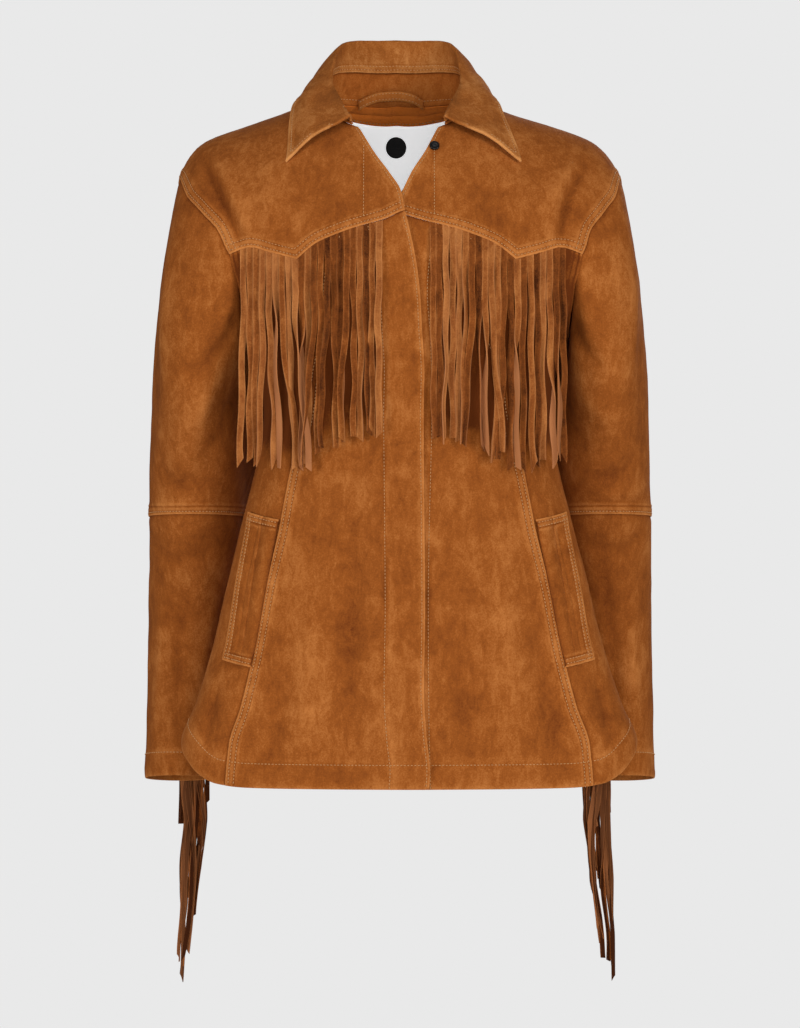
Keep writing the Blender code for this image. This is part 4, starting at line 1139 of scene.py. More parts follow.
def make_fronts(side, name, lines):
    """Yoke, centre front and side front of one side, each lapped over the next and stitched."""
    s = routes_of(side)
    right = side < 0
    d = {key: dense(route) for key, route in s.items()}
    yoke_seam = np.vstack([d["yoke_inner"], d["yoke_dip"], d["yoke_outer"]])
    yoke = patch(join(along(s["yoke_inner"], 18, first=EDGE), along(s["yoke_dip"], 8),
                      along(s["yoke_outer"], 14, last=EDGE)),
                 join(along(s["neck_front"][::-1], 14, first=EDGE), along(s["shoulder_front"], 26, last=EDGE)),
                 along(s["v_edge"][::-1], 14, EDGE, EDGE),
                 along(s["arm_front"][::-1], 14, EDGE, EDGE))
    points, out, rub, fold, fields = lay(yoke, side, [(yoke_seam, over), (d["v_edge"], turned),
                                                      (d["arm_front"], over), (d["shoulder_front"], plain),
                                                      (d["neck_front"], under)], lines, right)
    cloth("yoke_" + name, points, body_suede(), rub, fold, flip=right)
    for at in (FIRST_ROW, SECOND_ROW):
        sew("yoke_" + name, *row_at(points, out, fields[0], at, 0))
        sew("yoke_" + name, *row_at(points, out, fields[2], at, 1, far=True))
    sew("yoke_" + name, *row_at(points, out, fields[1], FIRST_ROW, 1))
    sew("yoke_" + name, *row_at(points, out, side * points[..., 0], YOKE_FACING_X[side], 1), trim=0.010)

    front = patch(along(s["hem_front"], 22, EDGE, EDGE), along(s["yoke_inner"], 22, EDGE, EDGE),
                  along(s["front_edge"][::-1], 84, EDGE, EDGE), along(s["princess"][::-1], 84, EDGE, EDGE))
    points, out, rub, fold, fields = lay(front, side, [(d["hem_front"], hemmed), (d["front_edge"], turned),
                                                       (d["princess"], over), (d["yoke_inner"], under)], lines, right)
    seam_line = form(*mirrored(yoke_seam, side).T)
    # painted shadow of the fringe on the centre front
    rub = rub - UNDER_FRINGE_PAINTED_SHADOW * painted_fringe_shadow(points, side, seam_line)
    # a rubbed pale band beside the placket row, and painted shade in its stitch groove
    rub += 0.30 * bump_row(fields[1], PLACKET_ROW - 0.0030, 0.0030) - 0.55 * bump_row(fields[1], PLACKET_ROW)
    cloth("front_" + name, points, body_suede(), rub, fold, flip=right)
    for at in (FIRST_ROW, SECOND_ROW):
        sew("front_" + name, *row_at(points, out, fields[2], at, 1, far=True))
    sew("front_" + name, *row_at(points, out, fields[1], FIRST_ROW, 1))
    sew("front_" + name, *row_at(points, out, fields[0], HEM_ROW, 0))
    sew("front_" + name, *row_at(points, out, fields[1], PLACKET_ROW, 1), trim=0.002)

    side_front = patch(along(s["hem_side"], 20, EDGE, EDGE),
                       join(along(s["yoke_dip"], 8, first=EDGE), along(s["yoke_outer"], 12, last=EDGE)),
                       along(s["princess"][::-1], 84, EDGE, EDGE),
                       join(along(s["side"][::-1], 64, first=EDGE), along(s["arm_low"][::-1], 20, last=EDGE)))
    points, out, rub, fold, fields = lay(side_front, side, [
        (d["hem_side"], hemmed), (d["princess"], under), (d["side"], plain), (d["arm_low"], over),
        (np.vstack([d["yoke_dip"], d["yoke_outer"]]), under)], lines, False)
    # painted shadow of the fringe on the side front
    rub = rub - UNDER_FRINGE_PAINTED_SHADOW * painted_fringe_shadow(points, side, seam_line)
    cloth("side_front_" + name, points, body_suede(), rub, fold, flip=right)
    sew("side_front_" + name, *row_at(points, out, fields[0], HEM_ROW, 0))


def make_back(lines):
    """One plain panel from the neck and shoulders to the hem."""
    s = routes_of(1)
    neck = along(s["neck_back"], 12)
    shoulder = along(s["shoulder_back"][::-1], 18, first=EDGE)

    def same(route):
        return route

    def other(route):
        return around(mirrored(route, -1))

    top = join(shoulder, neck, other(neck[::-1]), other(shoulder[::-1]))
    left_edge = join(along(s["side"][::-1], 64, first=EDGE), along(s["arm_back"][::-1], 26, last=EDGE))
    hem = hem_route(90.0, 270.0)
    grid = patch(along(hem, 60, EDGE, EDGE), top, left_edge, other(left_edge), top_ease=3, side_ease=2)
    seams_here = [(dense(hem), hemmed)]
    for turn in (same, other):
        seams_here += [(turn(dense(s["side"])), plain), (turn(dense(s["arm_back"])), over),
                       (turn(dense(s["shoulder_back"])), plain), (turn(dense(s["neck_back"])), under)]
    points, out, rub, fold, fields = lay(grid, 1, seams_here, lines)
    cloth("back", points, body_suede(), rub, fold)
    sew("back", *row_at(points, out, fields[0], HEM_ROW, 0))
    for at in (FIRST_ROW, SECOND_ROW):
        sew("back", *row_at(points, out, fields[2], at, 1))
        sew("back", *row_at(points, out, fields[6], at, 1, far=True))


def make_neck_lining():
    """The facing round the back neck and the label below it, on the inside of the back."""
    half = fine(routes_of(1)["neck_back"])[0]
    route = np.vstack([half, around(mirrored(half, -1))[::-1][1:]])
    line, length = fine(route)
    at = np.linspace(0.004, length[-1] - 0.004, 90)
    neck = np.stack([np.interp(at, length, line[:, k]) for k in range(2)], axis=1)
    drop = spaced(FACING_WIDTH, 1, EDGE[:8], EDGE[:8])
    grid = np.repeat(neck[None], len(drop), axis=0)
    grid[..., 1] += drop[::-1][:, None]
    base = form(grid[..., 0], grid[..., 1])
    inward = -normal(grid[..., 0], grid[..., 1])
    field = (FACING_WIDTH - drop[::-1])[:, None] + np.zeros(base.shape[:-1])
    seam = turned(field)
    off = LINING_STEP + 0.0004 + 0.3 * seam.rise + 0.0004 * waves(base, 0.012, 3)
    points = base + inward * off[..., None]
    # the facing is painted paler as painted light, on top of its turned edge
    cloth("neck_facing", points, facing_suede(), seam.rub + FACING_PAINTED_LIGHT)
    sew("neck_facing", *row_at(points, inward, field, FIRST_ROW, 0))

    left, _ = on_form(LABEL_WIDTH / 2, -0.03, behind=True)
    angles = np.linspace(left, 360.0 - left, 44)
    top = np.interp(angles, neck[:, 0], neck[:, 1]) + FACING_WIDTH + 0.0006
    share = np.linspace(1.0, 0.0, 36)[:, None]
    runs = top[None] + (LABEL_FOOT - top[None]) * share
    turn = np.broadcast_to(angles, runs.shape)
    base = form(turn, runs)
    inward = -normal(turn, runs)
    points = base + inward * (LABEL_STEP + 0.0005 * waves(base, 0.03, 4))[..., None]
    label = cloth("neck_label", points, woven_label(), wall=LABEL_WALL)
    for column_at in (1, -2):
        sew("neck_label", points[:, column_at], inward[:, column_at], trim=0.002)
    make_disc(label, points)


def make_disc(label, points):
    """A plain round mark woven into the label."""
    flat = points.reshape(-1, 3)
    verts = []
    for radius in np.linspace(0.0, DISC_RADIUS, 7):
        for turn in np.linspace(0.0, 2 * math.pi, 48, endpoint=False):
            x = DISC_X + radius * math.cos(turn)
            z = DISC_Z + radius * math.sin(turn)
            near = np.argsort((flat[:, 0] - x) ** 2 + (flat[:, 2] - z) ** 2)[:6]
            away = np.hypot(flat[near, 0] - x, flat[near, 2] - z) + 1e-6
            y = float((flat[near, 1] / away).sum() / (1 / away).sum())
            verts.append((x, y - LABEL_WALL / 2 - 0.0003, z))
    disc = mesh_object("label_disc", verts, grid_faces(7, 48, closed=True, flip=True), disc_print())
    disc.parent = label


def sleeve_surface(side):
    """The sleeve from the armhole to the cuff: the upper piece, the lower one and the turn of each column."""
    s = routes_of(side)
    front = mirrored(join(along(s["arm_front"], 22), along(s["arm_low"], 18)), side)
    back = mirrored(along(s["arm_back"][::-1], 44), side)
    loop = np.vstack([front, back[1:-1]])
    place = form(loop[:, 0], loop[:, 1])
    turn = np.concatenate([spread(form(front[:, 0], front[:, 1]), 0.0, math.pi),
                           spread(form(back[:, 0], back[:, 1]), math.pi, 2 * math.pi)[1:-1]])
    beneath = smooth_step((-np.cos(turn)) / 0.8)[:, None]
    place = place + normal(loop[:, 0], loop[:, 1]) * beneath * UNDERARM_STEP
    ring = lambda z: sleeve_ring(np.full_like(turn, z), turn, side)
    target = ring(SLEEVE_RINGS[0].z)
    below = ring(SLEEVE_RINGS[0].z - 0.004)
    arrive = (below - target) / np.linalg.norm(below - target, axis=1, keepdims=True)
    half = np.abs(np.cos(turn))
    tip = np.where(np.cos(turn) > 0, SLEEVE_HEAD_LEAN[0], SLEEVE_HEAD_LEAN[2])
    lean = half * tip + (1 - half) * SLEEVE_HEAD_LEAN[1]
    leave = np.stack([side * lean, -SLEEVE_HEAD_SWING * np.sin(turn), -np.ones_like(turn)], axis=1)
    leave /= np.linalg.norm(leave, axis=1, keepdims=True)
    span = np.linalg.norm(target - place, axis=1, keepdims=True)
    head = span.mean()
    upper = []
    for t in spaced(head, 30, first=EDGE) / head:
        upper.append((2 * t ** 3 - 3 * t ** 2 + 1) * place + (t ** 3 - 2 * t ** 2 + t) * span * leave
                     + (3 * t ** 2 - 2 * t ** 3) * target + (t ** 3 - t ** 2) * span * arrive)
    above = SLEEVE_RINGS[0].z - ELBOW_Z
    for drop in spaced(above, 16, last=EDGE)[1:]:
        upper.append(ring(SLEEVE_RINGS[0].z - drop))
    lower = [ring(ELBOW_Z - drop) for drop in spaced(ELBOW_Z - CUFF_Z, 52, EDGE, EDGE)]
    return np.array(upper), np.array(lower), turn, place


def outward_round(points):
    """Outward directions on a tube whose rows go down and whose columns go round it."""
    wrapped = np.concatenate([points[:, -1:], points, points[:, :1]], axis=1)
    out = surface_normals(wrapped)[:, 1:-1]
    from_middle = points - points.mean(axis=1, keepdims=True)
    return out if (out * from_middle).sum() > 0 else -out


def make_sleeve(side, name, seed):
    """Upper and lower sleeve: folded at elbow and armpit, with a lapped elbow seam and a hemmed cuff."""
    upper, lower, turn, armhole = sleeve_surface(side)
    flat_folds = []
    for f in SLEEVE_FOLDS:
        line = through([(f.turn0, f.z0 * 1000), (f.turn1, f.z1 * 1000), (f.turn2, f.z2 * 1000)])[::6]
        jitter = 6.0 * side
        flat_folds.append((np.stack([np.radians(line[:, 0] + jitter) * SLEEVE_RADIUS, line[:, 1] / 1000
                                     + 0.004 * side, np.zeros(len(line))], axis=1), f.rise, f.width))
    pieces = {
        "sleeve_upper_" + name: (upper, [(armhole, under, 0), (lower[0], over, -1)], ["yoke_" + name]),
        "sleeve_lower_" + name: (lower, [(lower[0], under, 0), (lower[-1], hemmed, -1)],
                                 ["sleeve_upper_" + name]),
    }
    for node, (base, ends, hangs_from) in pieces.items():
        out = outward_round(base)
        unrolled = np.stack([np.broadcast_to(turn * SLEEVE_RADIUS, base.shape[:2]), base[..., 2],
                             np.zeros(base.shape[:2])], axis=-1)
        fold = folded(unrolled, flat_folds)
        height = fold + 0.0011 * waves(base, 0.06, seed) + 0.0004 * waves(base, 0.018, seed + 1)
        edges = []
        for line, kind, _ in ends:
            edges.append(distance_to(np.vstack([line, line[:1]]), base)[0])
        near = np.minimum(edges[0], edges[1])
        height *= smooth_step(near / 0.012) * 0.75 + 0.25
        rub = np.zeros(base.shape[:2])
        rise = np.zeros(base.shape[:2])
        for d, (_, kind, _) in zip(edges, ends):
            seam = kind(d)
            rise += seam.rise
            rub = np.where(np.abs(seam.rub) > np.abs(rub), seam.rub, rub)
        rise += 0.0003 * waves(base, 0.006, seed + 2) * np.exp(-((near - 0.007) / 0.006) ** 2)
        points = base + out * (height + rise)[..., None]
        cloth(node, points, body_suede(), rub, height / 0.003, closed=True, flip=side < 0)
        row = HEM_ROW if node.startswith("sleeve_lower") else FIRST_ROW
        line, lean = row_at(points, out, edges[1], row, 0, far=True)
        sew(node, np.vstack([line, line[:1]]), np.vstack([lean, lean[:1]]), trim=0.0)


def make_collar():
    """The stand inside, and the fall that folds over it into two leaves, its edge turned and stitched."""
    base, stand_top, fall = collar_profiles(COLLAR_COLUMNS)
    share = np.concatenate([STAND_TUCK_ROWS, spaced(1.0, 12)])[:, None, None]
    stand = base[None] + (stand_top - base)[None] * share
    inward = surface_normals(stand)
    if (inward[:, COLLAR_COLUMNS // 2, 1]).sum() > 0:
        inward = -inward
    stand = stand + inward * STAND_TUCK * (1 - smooth_step((share + 0.04) / 0.06))
    field = np.linalg.norm(stand - stand[len(STAND_TUCK_ROWS)][None], axis=2) * np.sign(share[..., 0] + 1e-9)
    seam = Seam(*under(np.linalg.norm(stand - stand[-1:], axis=2)))
    stand = stand + inward * (seam.rise + 0.0004 * waves(stand, 0.02, 6))[..., None]
    # painted shade where the stand dips under the fall, and a pale rubbed line at the neck seam
    cloth("collar_stand", stand, lining_suede(), seam.rub + 0.4 * bump_row(field, 0.001, 0.0012),
          wall=0.0017, flip=True)
    sew("collar_stand", *row_at(stand, inward, field, 0.0028, 0), trim=0.02)

    rows = []
    for c in range(COLLAR_COLUMNS + 1):
        line = through(np.array([part[c] for part in fall]))
        length = lengths(line)
        at = spaced(length[-1], 34, EDGE[:11], EDGE)
        rows.append(np.stack([np.interp(at, length, line[:, k]) for k in range(3)], axis=1))
    leaf = np.array(rows).transpose(1, 0, 2)
    out = surface_normals(leaf)
    if out[-8, COLLAR_COLUMNS // 2, 1] < 0:
        out = -out
    rim = np.vstack([leaf[18:, 0], leaf[-1, 1:-1], leaf[18:, -1][::-1]])
    edge, _ = distance_to(rim, leaf)
    steps = np.linalg.norm(np.diff(leaf, axis=0), axis=2)
    root = np.vstack([np.zeros(leaf.shape[1]), np.cumsum(steps, axis=0)])
    band = turned(edge)
    sewn = over(root)
    fade_in = smooth_step((root - 0.030) / 0.02)
    ripple = 0.0022 * waves(leaf, 0.028, 7) * fade_in + 0.0005 * waves(leaf, 0.012, 8)
    pucker = 0.0003 * waves(leaf, 0.005, 9) * np.exp(-((edge - 0.006) / 0.004) ** 2)
    height = ripple * smooth_step(edge / 0.012) + pucker + band.rise + 0.5 * sewn.rise
    rub = np.where(np.abs(band.rub) > np.abs(0.5 * sewn.rub), band.rub, 0.5 * sewn.rub)
    leaf = leaf + out * height[..., None]
    cloth("collar_fall", leaf, collar_suede(), rub, ripple / 0.0015, wall=0.0022, flip=True)
    sew("collar_fall", *row_at(leaf, out, edge, 0.0042, 0, far=True), trim=0.001)
    for side in (False, True):
        line, lean = row_at(leaf[34:], out[34:], edge[34:], 0.0042, 1, far=side)
        sew("collar_fall", line, lean, trim=0.001)
    for at in (FIRST_ROW, 0.0068):
        sew("collar_fall", *row_at(leaf, out, root, at, 0), trim=0.02)


def collar_suede():
    return suede("brushed_suede_collar", "#62300D", "#945421", "#C6864B")


def facing_suede():
    """The neck facing's suede, redder, fuller and paler than the outside: a lit copy, painted light for the light
    that the shade of the neck keeps from it.
    """
    return suede("brushed_suede_facing", "#6C2E09", "#A8521A", "#D8762C")


def make_hanger():
    """The hanger loop: a strip folded flat, stitched along both edges and sewn into the neck seam."""
    xs = np.linspace(HANGER[0].x, HANGER[-1].x, 70)
    zs = smooth(xs, column(HANGER, "x"), column(HANGER, "z"))
    off = smooth(xs, column(HANGER, "x"), column(HANGER, "off"))
    base, stand_top, _ = collar_profiles(120)
    back = base[:, 1] > 0
    rows = []
    for t in np.linspace(-0.5, 0.5, 11):
        row = []
        for x, z, stand_off in zip(xs, zs, off):
            here = z + t * HANGER_WIDTH
            share = np.clip((here - base[back, 2]) / (stand_top[back, 2] - base[back, 2]), -0.5, 1.0)
            wall = base[back] + (stand_top[back] - base[back]) * share[:, None]
            order = np.argsort(wall[:, 0])
            y = np.interp(x, wall[order, 0], wall[order, 1])
            crown = 0.0011 * (1 - (2 * t) ** 4)
            row.append((x, y - stand_off - WALL - crown, here))
        rows.append(row)
    points = np.array(rows)
    out = surface_normals(points)
    if out[..., 1].sum() > 0:
        out = -out
    t = np.abs(np.linspace(-0.5, 0.5, 11))[:, None] + np.zeros(points.shape[:2])
    cloth("hanger_loop", points, lining_suede(), 0.3 + 0.9 * smooth_step((t - 0.3) / 0.2), wall=0.0019)
    for r in (2, 8):
        sew("hanger_loop", points[r], out[r], trim=0.003)


def make_welt(side, name, lines):
    """The slanted pocket welt, laid on the side front and stitched in double rows round three sides."""
    corners = [np.array([on_form(s.x, s.z)]) for s in WELT_CORNERS]
    top_side, top_seam, low_side, low_seam = (np.asarray(corner, dtype=float).reshape(2) for corner in corners)
    seam_edge, side_edge = np.stack([low_seam, top_seam]), np.stack([low_side, top_side])
    bottom, top = np.stack([low_seam, low_side]), np.stack([top_seam, top_side])
    grid = patch(along(bottom, 8, EDGE[:11], EDGE[:11]), along(top, 8, EDGE[:11], EDGE[:11]),
                 along(seam_edge, 50, EDGE, EDGE), along(side_edge, 50, EDGE, EDGE))
    points, out, rub, fold, fields = lay(grid, side, [(dense(side_edge), over), (dense(top), over),
                                                      (dense(bottom), over), (dense(seam_edge), under)], lines)
    points = points + out * WELT_RISE
    node = "pocket_welt_" + name
    cloth(node, points, body_suede(), rub, fold, flip=side < 0)
    for at in (FIRST_ROW, 0.0072):
        sew(node, *row_at(points, out, fields[0], at, 1, far=True), trim=0.003)
        sew(node, *row_at(points, out, fields[1], at, 0, far=True), trim=0.003)
        sew(node, *row_at(points, out, fields[2], at, 0), trim=0.003)


# ---------------------------------------------------------------- strands
ACROSS = np.linspace(-1.0, 1.0, 5)


def strand(centre, width, turn, cup, thick, out, slant, tone, top_slope=0.0):
    """One cut strand: a thin strip that twists and cups as it hangs; its points, side and tone."""
    rows = len(centre)
    sideways = np.cross(out, (0.0, 0.0, 1.0))
    away = np.array(out, dtype=float)
    across = np.cos(turn)[:, None] * sideways + np.sin(turn)[:, None] * away
    face = -np.sin(turn)[:, None] * sideways + np.cos(turn)[:, None] * away
    place = (centre[:, None] + across[:, None] * (ACROSS * width[:, None] / 2)[..., None]
             + face[:, None] * (cup[:, None] * (1 - ACROSS ** 2))[..., None])
    cut = smooth_step((np.linspace(0.0, 1.0, rows) - 0.93) / 0.07)
    place[..., 2] += slant * cut[:, None] * ACROSS
    root = 1 - smooth_step(np.linspace(0.0, 1.0, rows) / 0.08)
    place[..., 2] += top_slope * root[:, None] * ACROSS * width[:, None] / 2
    front = place + face[:, None] * thick / 2
    back = place - face[:, None] * thick / 2
    ring = np.concatenate([front, back[:, ::-1]], axis=1)
    flesh = np.concatenate([np.zeros_like(ACROSS), np.ones_like(ACROSS)])
    edge = np.where(np.abs(ACROSS) > 0.9, 0.5, 0.0)
    own = tone + np.concatenate([edge, edge])
    return ring, np.broadcast_to(flesh, ring.shape[:2]), np.broadcast_to(own, ring.shape[:2])


def strands_object(name, strands, parent):
    """All the strands of a fringe as one mesh."""
    verts = []
    faces = []
    flesh = []
    rub = []
    for ring, side, tone in strands:
        rows, cols = ring.shape[:2]
        first = len(verts)
        verts += ring.reshape(-1, 3).tolist()
        flesh += side.ravel().tolist()
        rub += tone.ravel().tolist()
        faces += grid_faces(rows, cols, closed=True, first=first)
        faces.append(tuple(range(first, first + cols))[::-1])
        last = first + (rows - 1) * cols
        faces.append(tuple(range(last, last + cols)))
    made = mesh_object(name + "_strands", verts, faces, fringe_suede(), flesh=flesh, rub=rub)
    bpy.ops.object.select_all(action="DESELECT")
    made.select_set(True)
    bpy.context.view_layer.objects.active = made
    bpy.ops.object.mode_set(mode="EDIT")
    bpy.ops.mesh.select_all(action="SELECT")
    bpy.ops.mesh.normals_make_consistent(inside=False)
    bpy.ops.object.mode_set(mode="OBJECT")
    bpy.ops.object.shade_smooth_by_angle(angle=math.radians(50))
    made.parent = parent
    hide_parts(name)
    return made


def make_front_fringe(side, name):
    """Strands cut from a strip sewn under the yoke's edge: they fall plumb, twist and lie in locks."""
    settings = bpy.context.scene.suede_jacket
    pick = random.Random(11 if side > 0 else 5)
    s = routes_of(side)
    yoke_edge = np.vstack([dense(s[key]) for key in ("yoke_inner", "yoke_dip", "yoke_outer")])
    seam = form(*mirrored(yoke_edge, side).T)
    order = np.argsort(side * seam[:, 0])
    start = FRINGE_START_LEFT if side > 0 else FRINGE_START_RIGHT
    pitch = settings.strand_width * STRAND_LAP
    count = int((FRINGE_END - start) / pitch)
    along_it = np.linspace(0.0, 1.0, STRAND_ROWS)
    made = []
    lock = 0.0
    for k in range(count):
        if k % 3 == 0:
            lock = pick.uniform(-0.0045, 0.0045)
        strays = pick.random() < STRAY_SHARE
        x0 = start + (k + 0.5) * pitch
        before, z0, after = np.interp((x0 - pitch / 2, x0, x0 + pitch / 2),
                                      side * seam[order, 0], seam[order, 2])
        length = FRINGE_LENGTH * pick.uniform(0.965, 1.0) - 0.002
        z = z0 - length * along_it
        sway = lock * along_it ** 1.6 + 0.0012 * np.sin(6.0 * along_it + pick.uniform(0, 6)) * along_it
        quiver = np.sin(pick.uniform(13, 21) * along_it + pick.uniform(0, 6))
        sway += 0.0009 * quiver * smooth_step(along_it / 0.3)
        if strays:
            sway += pick.choice((-1, 1)) * pick.uniform(0.007, 0.013) * smooth_step((along_it - 0.25) / 0.75)
        to_lock = (1.2 - (k % 3) * 1.2) * 0.001 * along_it ** 1.5
        x = x0 + sway + to_lock * pick.uniform(0.2, 2.4)
        x = np.clip(x, x0 if k == 0 else start, FRINGE_END)
        own = x0 - side * section(-z, "drift")
        half = section(-z, "half_width") * FRINGE_LEAVES_BODY
        angle, run = on_form(np.minimum(own, half), z)
        y = np.minimum.accumulate(form(angle, run)[:, 1])
        spin = pick.choice((-1, 1)) * pick.uniform(0.5, 1.0) * pick.choice(STRAND_TWISTS)
        begins = pick.uniform(0.02, 0.45)
        turned_over = smooth_step((along_it - begins) / pick.uniform(0.35, 0.9))
        turn = spin * turned_over * smooth_step(along_it / 0.12)
        wobble = pick.uniform(0.15, 0.45) * np.sin(pick.uniform(7, 15) * along_it + k)
        turn += wobble * smooth_step(along_it / 0.2)
        width = settings.strand_width * (0.96 - 0.09 * smooth_step(along_it / 0.12) * pick.uniform(0.0, 1.0))
        width = width * (1 + 0.05 * np.sin(17 * along_it + k))
        layer = pick.choice(STRAND_LAYERS) + (STRAY_LIFT if strays else 0.0)
        lift = 0.0004 + smooth_step(along_it / 0.06) * 0.0022 + width / 2 * np.abs(np.sin(turn)) * 0.8
        lift += layer * smooth_step(along_it / 0.25)
        centre = np.stack([side * x, y - lift, z], axis=1)
        if side < 0:
            centre[:, 1] -= lap(centre)
        cup = pick.uniform(-0.0009, 0.0013) * smooth_step(along_it / 0.12)
        made.append(strand(centre, width, turn, cup, settings.strand_wall, (0.0, -1.0, 0.0),
                           pick.uniform(-0.006, 0.006), pick.uniform(-0.6, 0.6),
                           side * (before - after) / pitch))
    strands_object("fringe_front_" + name, made, made_sheets["front_" + name])


def make_sleeve_fringe(side, name):
    """Strands sewn into the back seam from elbow to cuff; each hangs over those that start below it."""
    pick = random.Random(23 if side > 0 else 31)
    heights = column(SLEEVE_FRINGE, "z")[::-1]
    reach = {key: column(SLEEVE_FRINGE, key)[::-1] for key in ("inner", "outer", "front", "back")}
    shift = SLEEVE_CENTRE - (BUNDLE_SHIFT if side > 0 else 0.0)
    made = []
    starts = np.linspace(SLEEVE_FRINGE[0].z - 0.002, CUFF_Z + 0.003, SLEEVE_STRANDS)
    foot = SLEEVE_FRINGE[-1].z + 0.001
    along_it = np.linspace(0.0, 1.0, STRAND_ROWS)
    for k, z0 in enumerate(starts):
        longest = k in (SLEEVE_STRANDS - 2, SLEEVE_STRANDS - 5)
        z1 = max(z0 - FRINGE_LENGTH * (1.03 if longest else pick.uniform(0.90, 1.0)), foot)
        z = z0 + (z1 - z0) * along_it
        inner = np.interp(z, heights, reach["inner"])
        outer = np.interp(z, heights, reach["outer"])
        middle = (inner + outer) / 2
        wide = np.maximum((outer - inner) / 2 - 0.0026, 0.0008)
        x0 = float(np.interp(z0, SEAM_HEIGHTS, SEAM_X))
        drift = pick.uniform(-1.0, 1.0)
        hang = x0 + (middle + wide * drift - x0) * smooth_step(along_it / 0.7)
        x = hang + 0.0016 * np.sin(pick.uniform(6, 14) * along_it + pick.uniform(0, 6)) * along_it
        x = np.clip(x, middle - wide, middle + wide) * smooth_step(along_it / 0.1) + x0 * (
            1 - smooth_step(along_it / 0.1))
        front = np.interp(z, heights, reach["front"])
        back = np.interp(z, heights, reach["back"])
        depth = (1 - k / SLEEVE_STRANDS) * 0.7 + 0.3 * pick.random()
        y = front + 0.0016 + np.maximum(back - front - 0.0034, 0.0) * depth * smooth_step(along_it / 0.25)
        spin = pick.choice((-1, 1)) * pick.uniform(0.4, 3.4)
        turn = spin * smooth_step(along_it / 0.95) + pick.uniform(-0.3, 0.3)
        turn += 0.4 * np.sin(pick.uniform(6, 13) * along_it + k)
        width = SLEEVE_STRAND_WIDTH * (1.0 - 0.25 * along_it * pick.random())
        width = width * (1 + 0.08 * np.sin(19 * along_it + k))
        y = y + width / 2 * np.abs(np.sin(turn)) * 0.5
        cup = pick.uniform(-0.0008, 0.0014) * smooth_step(along_it / 0.15)
        centre = np.stack([side * x + shift, y, z], axis=1)
        made.append(strand(centre, width, turn, cup, 0.0012, (0.0, 1.0, 0.0), pick.uniform(-0.005, 0.005),
                           pick.uniform(-1.5, -0.5)))
    strands_object("fringe_sleeve_" + name, made, made_sheets["sleeve_lower_" + name])


# ---------------------------------------------------------------- stitches
def stitch_shape():
    """Half-sunk stitch of one length of thread: four square rings, thin where it enters the leather."""
    rings = ((-0.00115, -0.00035, 0.00016), (-0.00070, 0.00016, 0.00036),
             (0.00070, 0.00016, 0.00036), (0.00115, -0.00035, 0.00016))
    corners = [(x, y * radius, lift + z * radius) for x, lift, radius in rings
               for y, z in ((-1, -0.6), (1, -0.6), (1, 1), (-1, 1))]
    faces = grid_faces(4, 4, closed=True, flip=True)
    return np.array(corners), faces + [(0, 1, 2, 3), (15, 14, 13, 12)]


def make_stitches():
    """Every row of stitches, as one mesh for each piece that they are sewn on."""
    shape, faces = stitch_shape()
    for node, rows in stitch_rows.items():
        verts = []
        for place, ahead, out in rows:
            along_row = ahead / np.maximum(np.linalg.norm(ahead, axis=1, keepdims=True), 1e-12)
            out = out / np.maximum(np.linalg.norm(out, axis=1, keepdims=True), 1e-12)
            beside = np.cross(out, along_row)
            up = place + out * (WALL / 2 + 0.0001)
            verts.append(up[:, None] + along_row[:, None] * shape[None, :, :1]
                         + beside[:, None] * shape[None, :, 1:2] + out[:, None] * shape[None, :, 2:])
        verts = np.concatenate(verts).reshape(-1, 3)
        every = [tuple(i + 16 * k for i in face) for k in range(len(verts) // 16) for face in faces]
        made = mesh_object(node + "_stitches", verts, every, thread())
        made.parent = made_sheets[node]


def make_snap():
    """A press snap's cap: a turned disc with a raised rim, rounded, and a shallow hollow."""
    low, high = (Vector(corner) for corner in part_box("snap"))
    middle = (low + high) / 2
    angle, run = on_form(SNAP_X, SNAP_Z)
    out = Vector(normal(angle, run))
    bpy.ops.object.select_all(action="DESELECT")
    bpy.ops.mesh.primitive_cylinder_add(vertices=48, radius=SNAP_RADIUS, depth=SNAP_HEIGHT)
    snap = bpy.context.object
    snap.name = "snap_cap"
    bpy.ops.object.mode_set(mode="EDIT")
    bpy.ops.mesh.select_mode(type="FACE")
    for inset, lift in ((0.0009, 0.0005), (0.0006, -0.0004), (0.0010, -0.0003), (0.0012, 0.0002)):
        select_top(snap)
        bpy.ops.mesh.inset(thickness=inset)
        bpy.ops.transform.translate(value=(0.0, 0.0, lift))
    bpy.ops.object.mode_set(mode="OBJECT")
    edge = snap.modifiers.new("edge", "BEVEL")
    edge.width = 0.00035
    edge.segments = 3
    edge.limit_method = "ANGLE"
    bpy.ops.object.modifier_apply(modifier="edge")
    snap.rotation_euler = out.to_track_quat("Z", "Y").to_euler()
    snap.location = middle
    bpy.ops.object.transform_apply(location=True, rotation=True, scale=True)
    bpy.ops.object.shade_smooth_by_angle(angle=math.radians(35))
    snap.data.materials.append(enamelled_snap())
    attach(snap, "root")
    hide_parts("snap")


def select_top(thing):
    """In edit mode, selects only the face that is flat, topmost and in the middle."""
    shape = bmesh.from_edit_mesh(thing.data)
    chosen = min((face for face in shape.faces if face.normal.z > 0.99),
                 key=lambda face: face.calc_center_median().xy.length - len(face.verts) * 0.001)
    for face in shape.faces:
        face.select_set(face is chosen)
    bmesh.update_edit_mesh(thing.data)


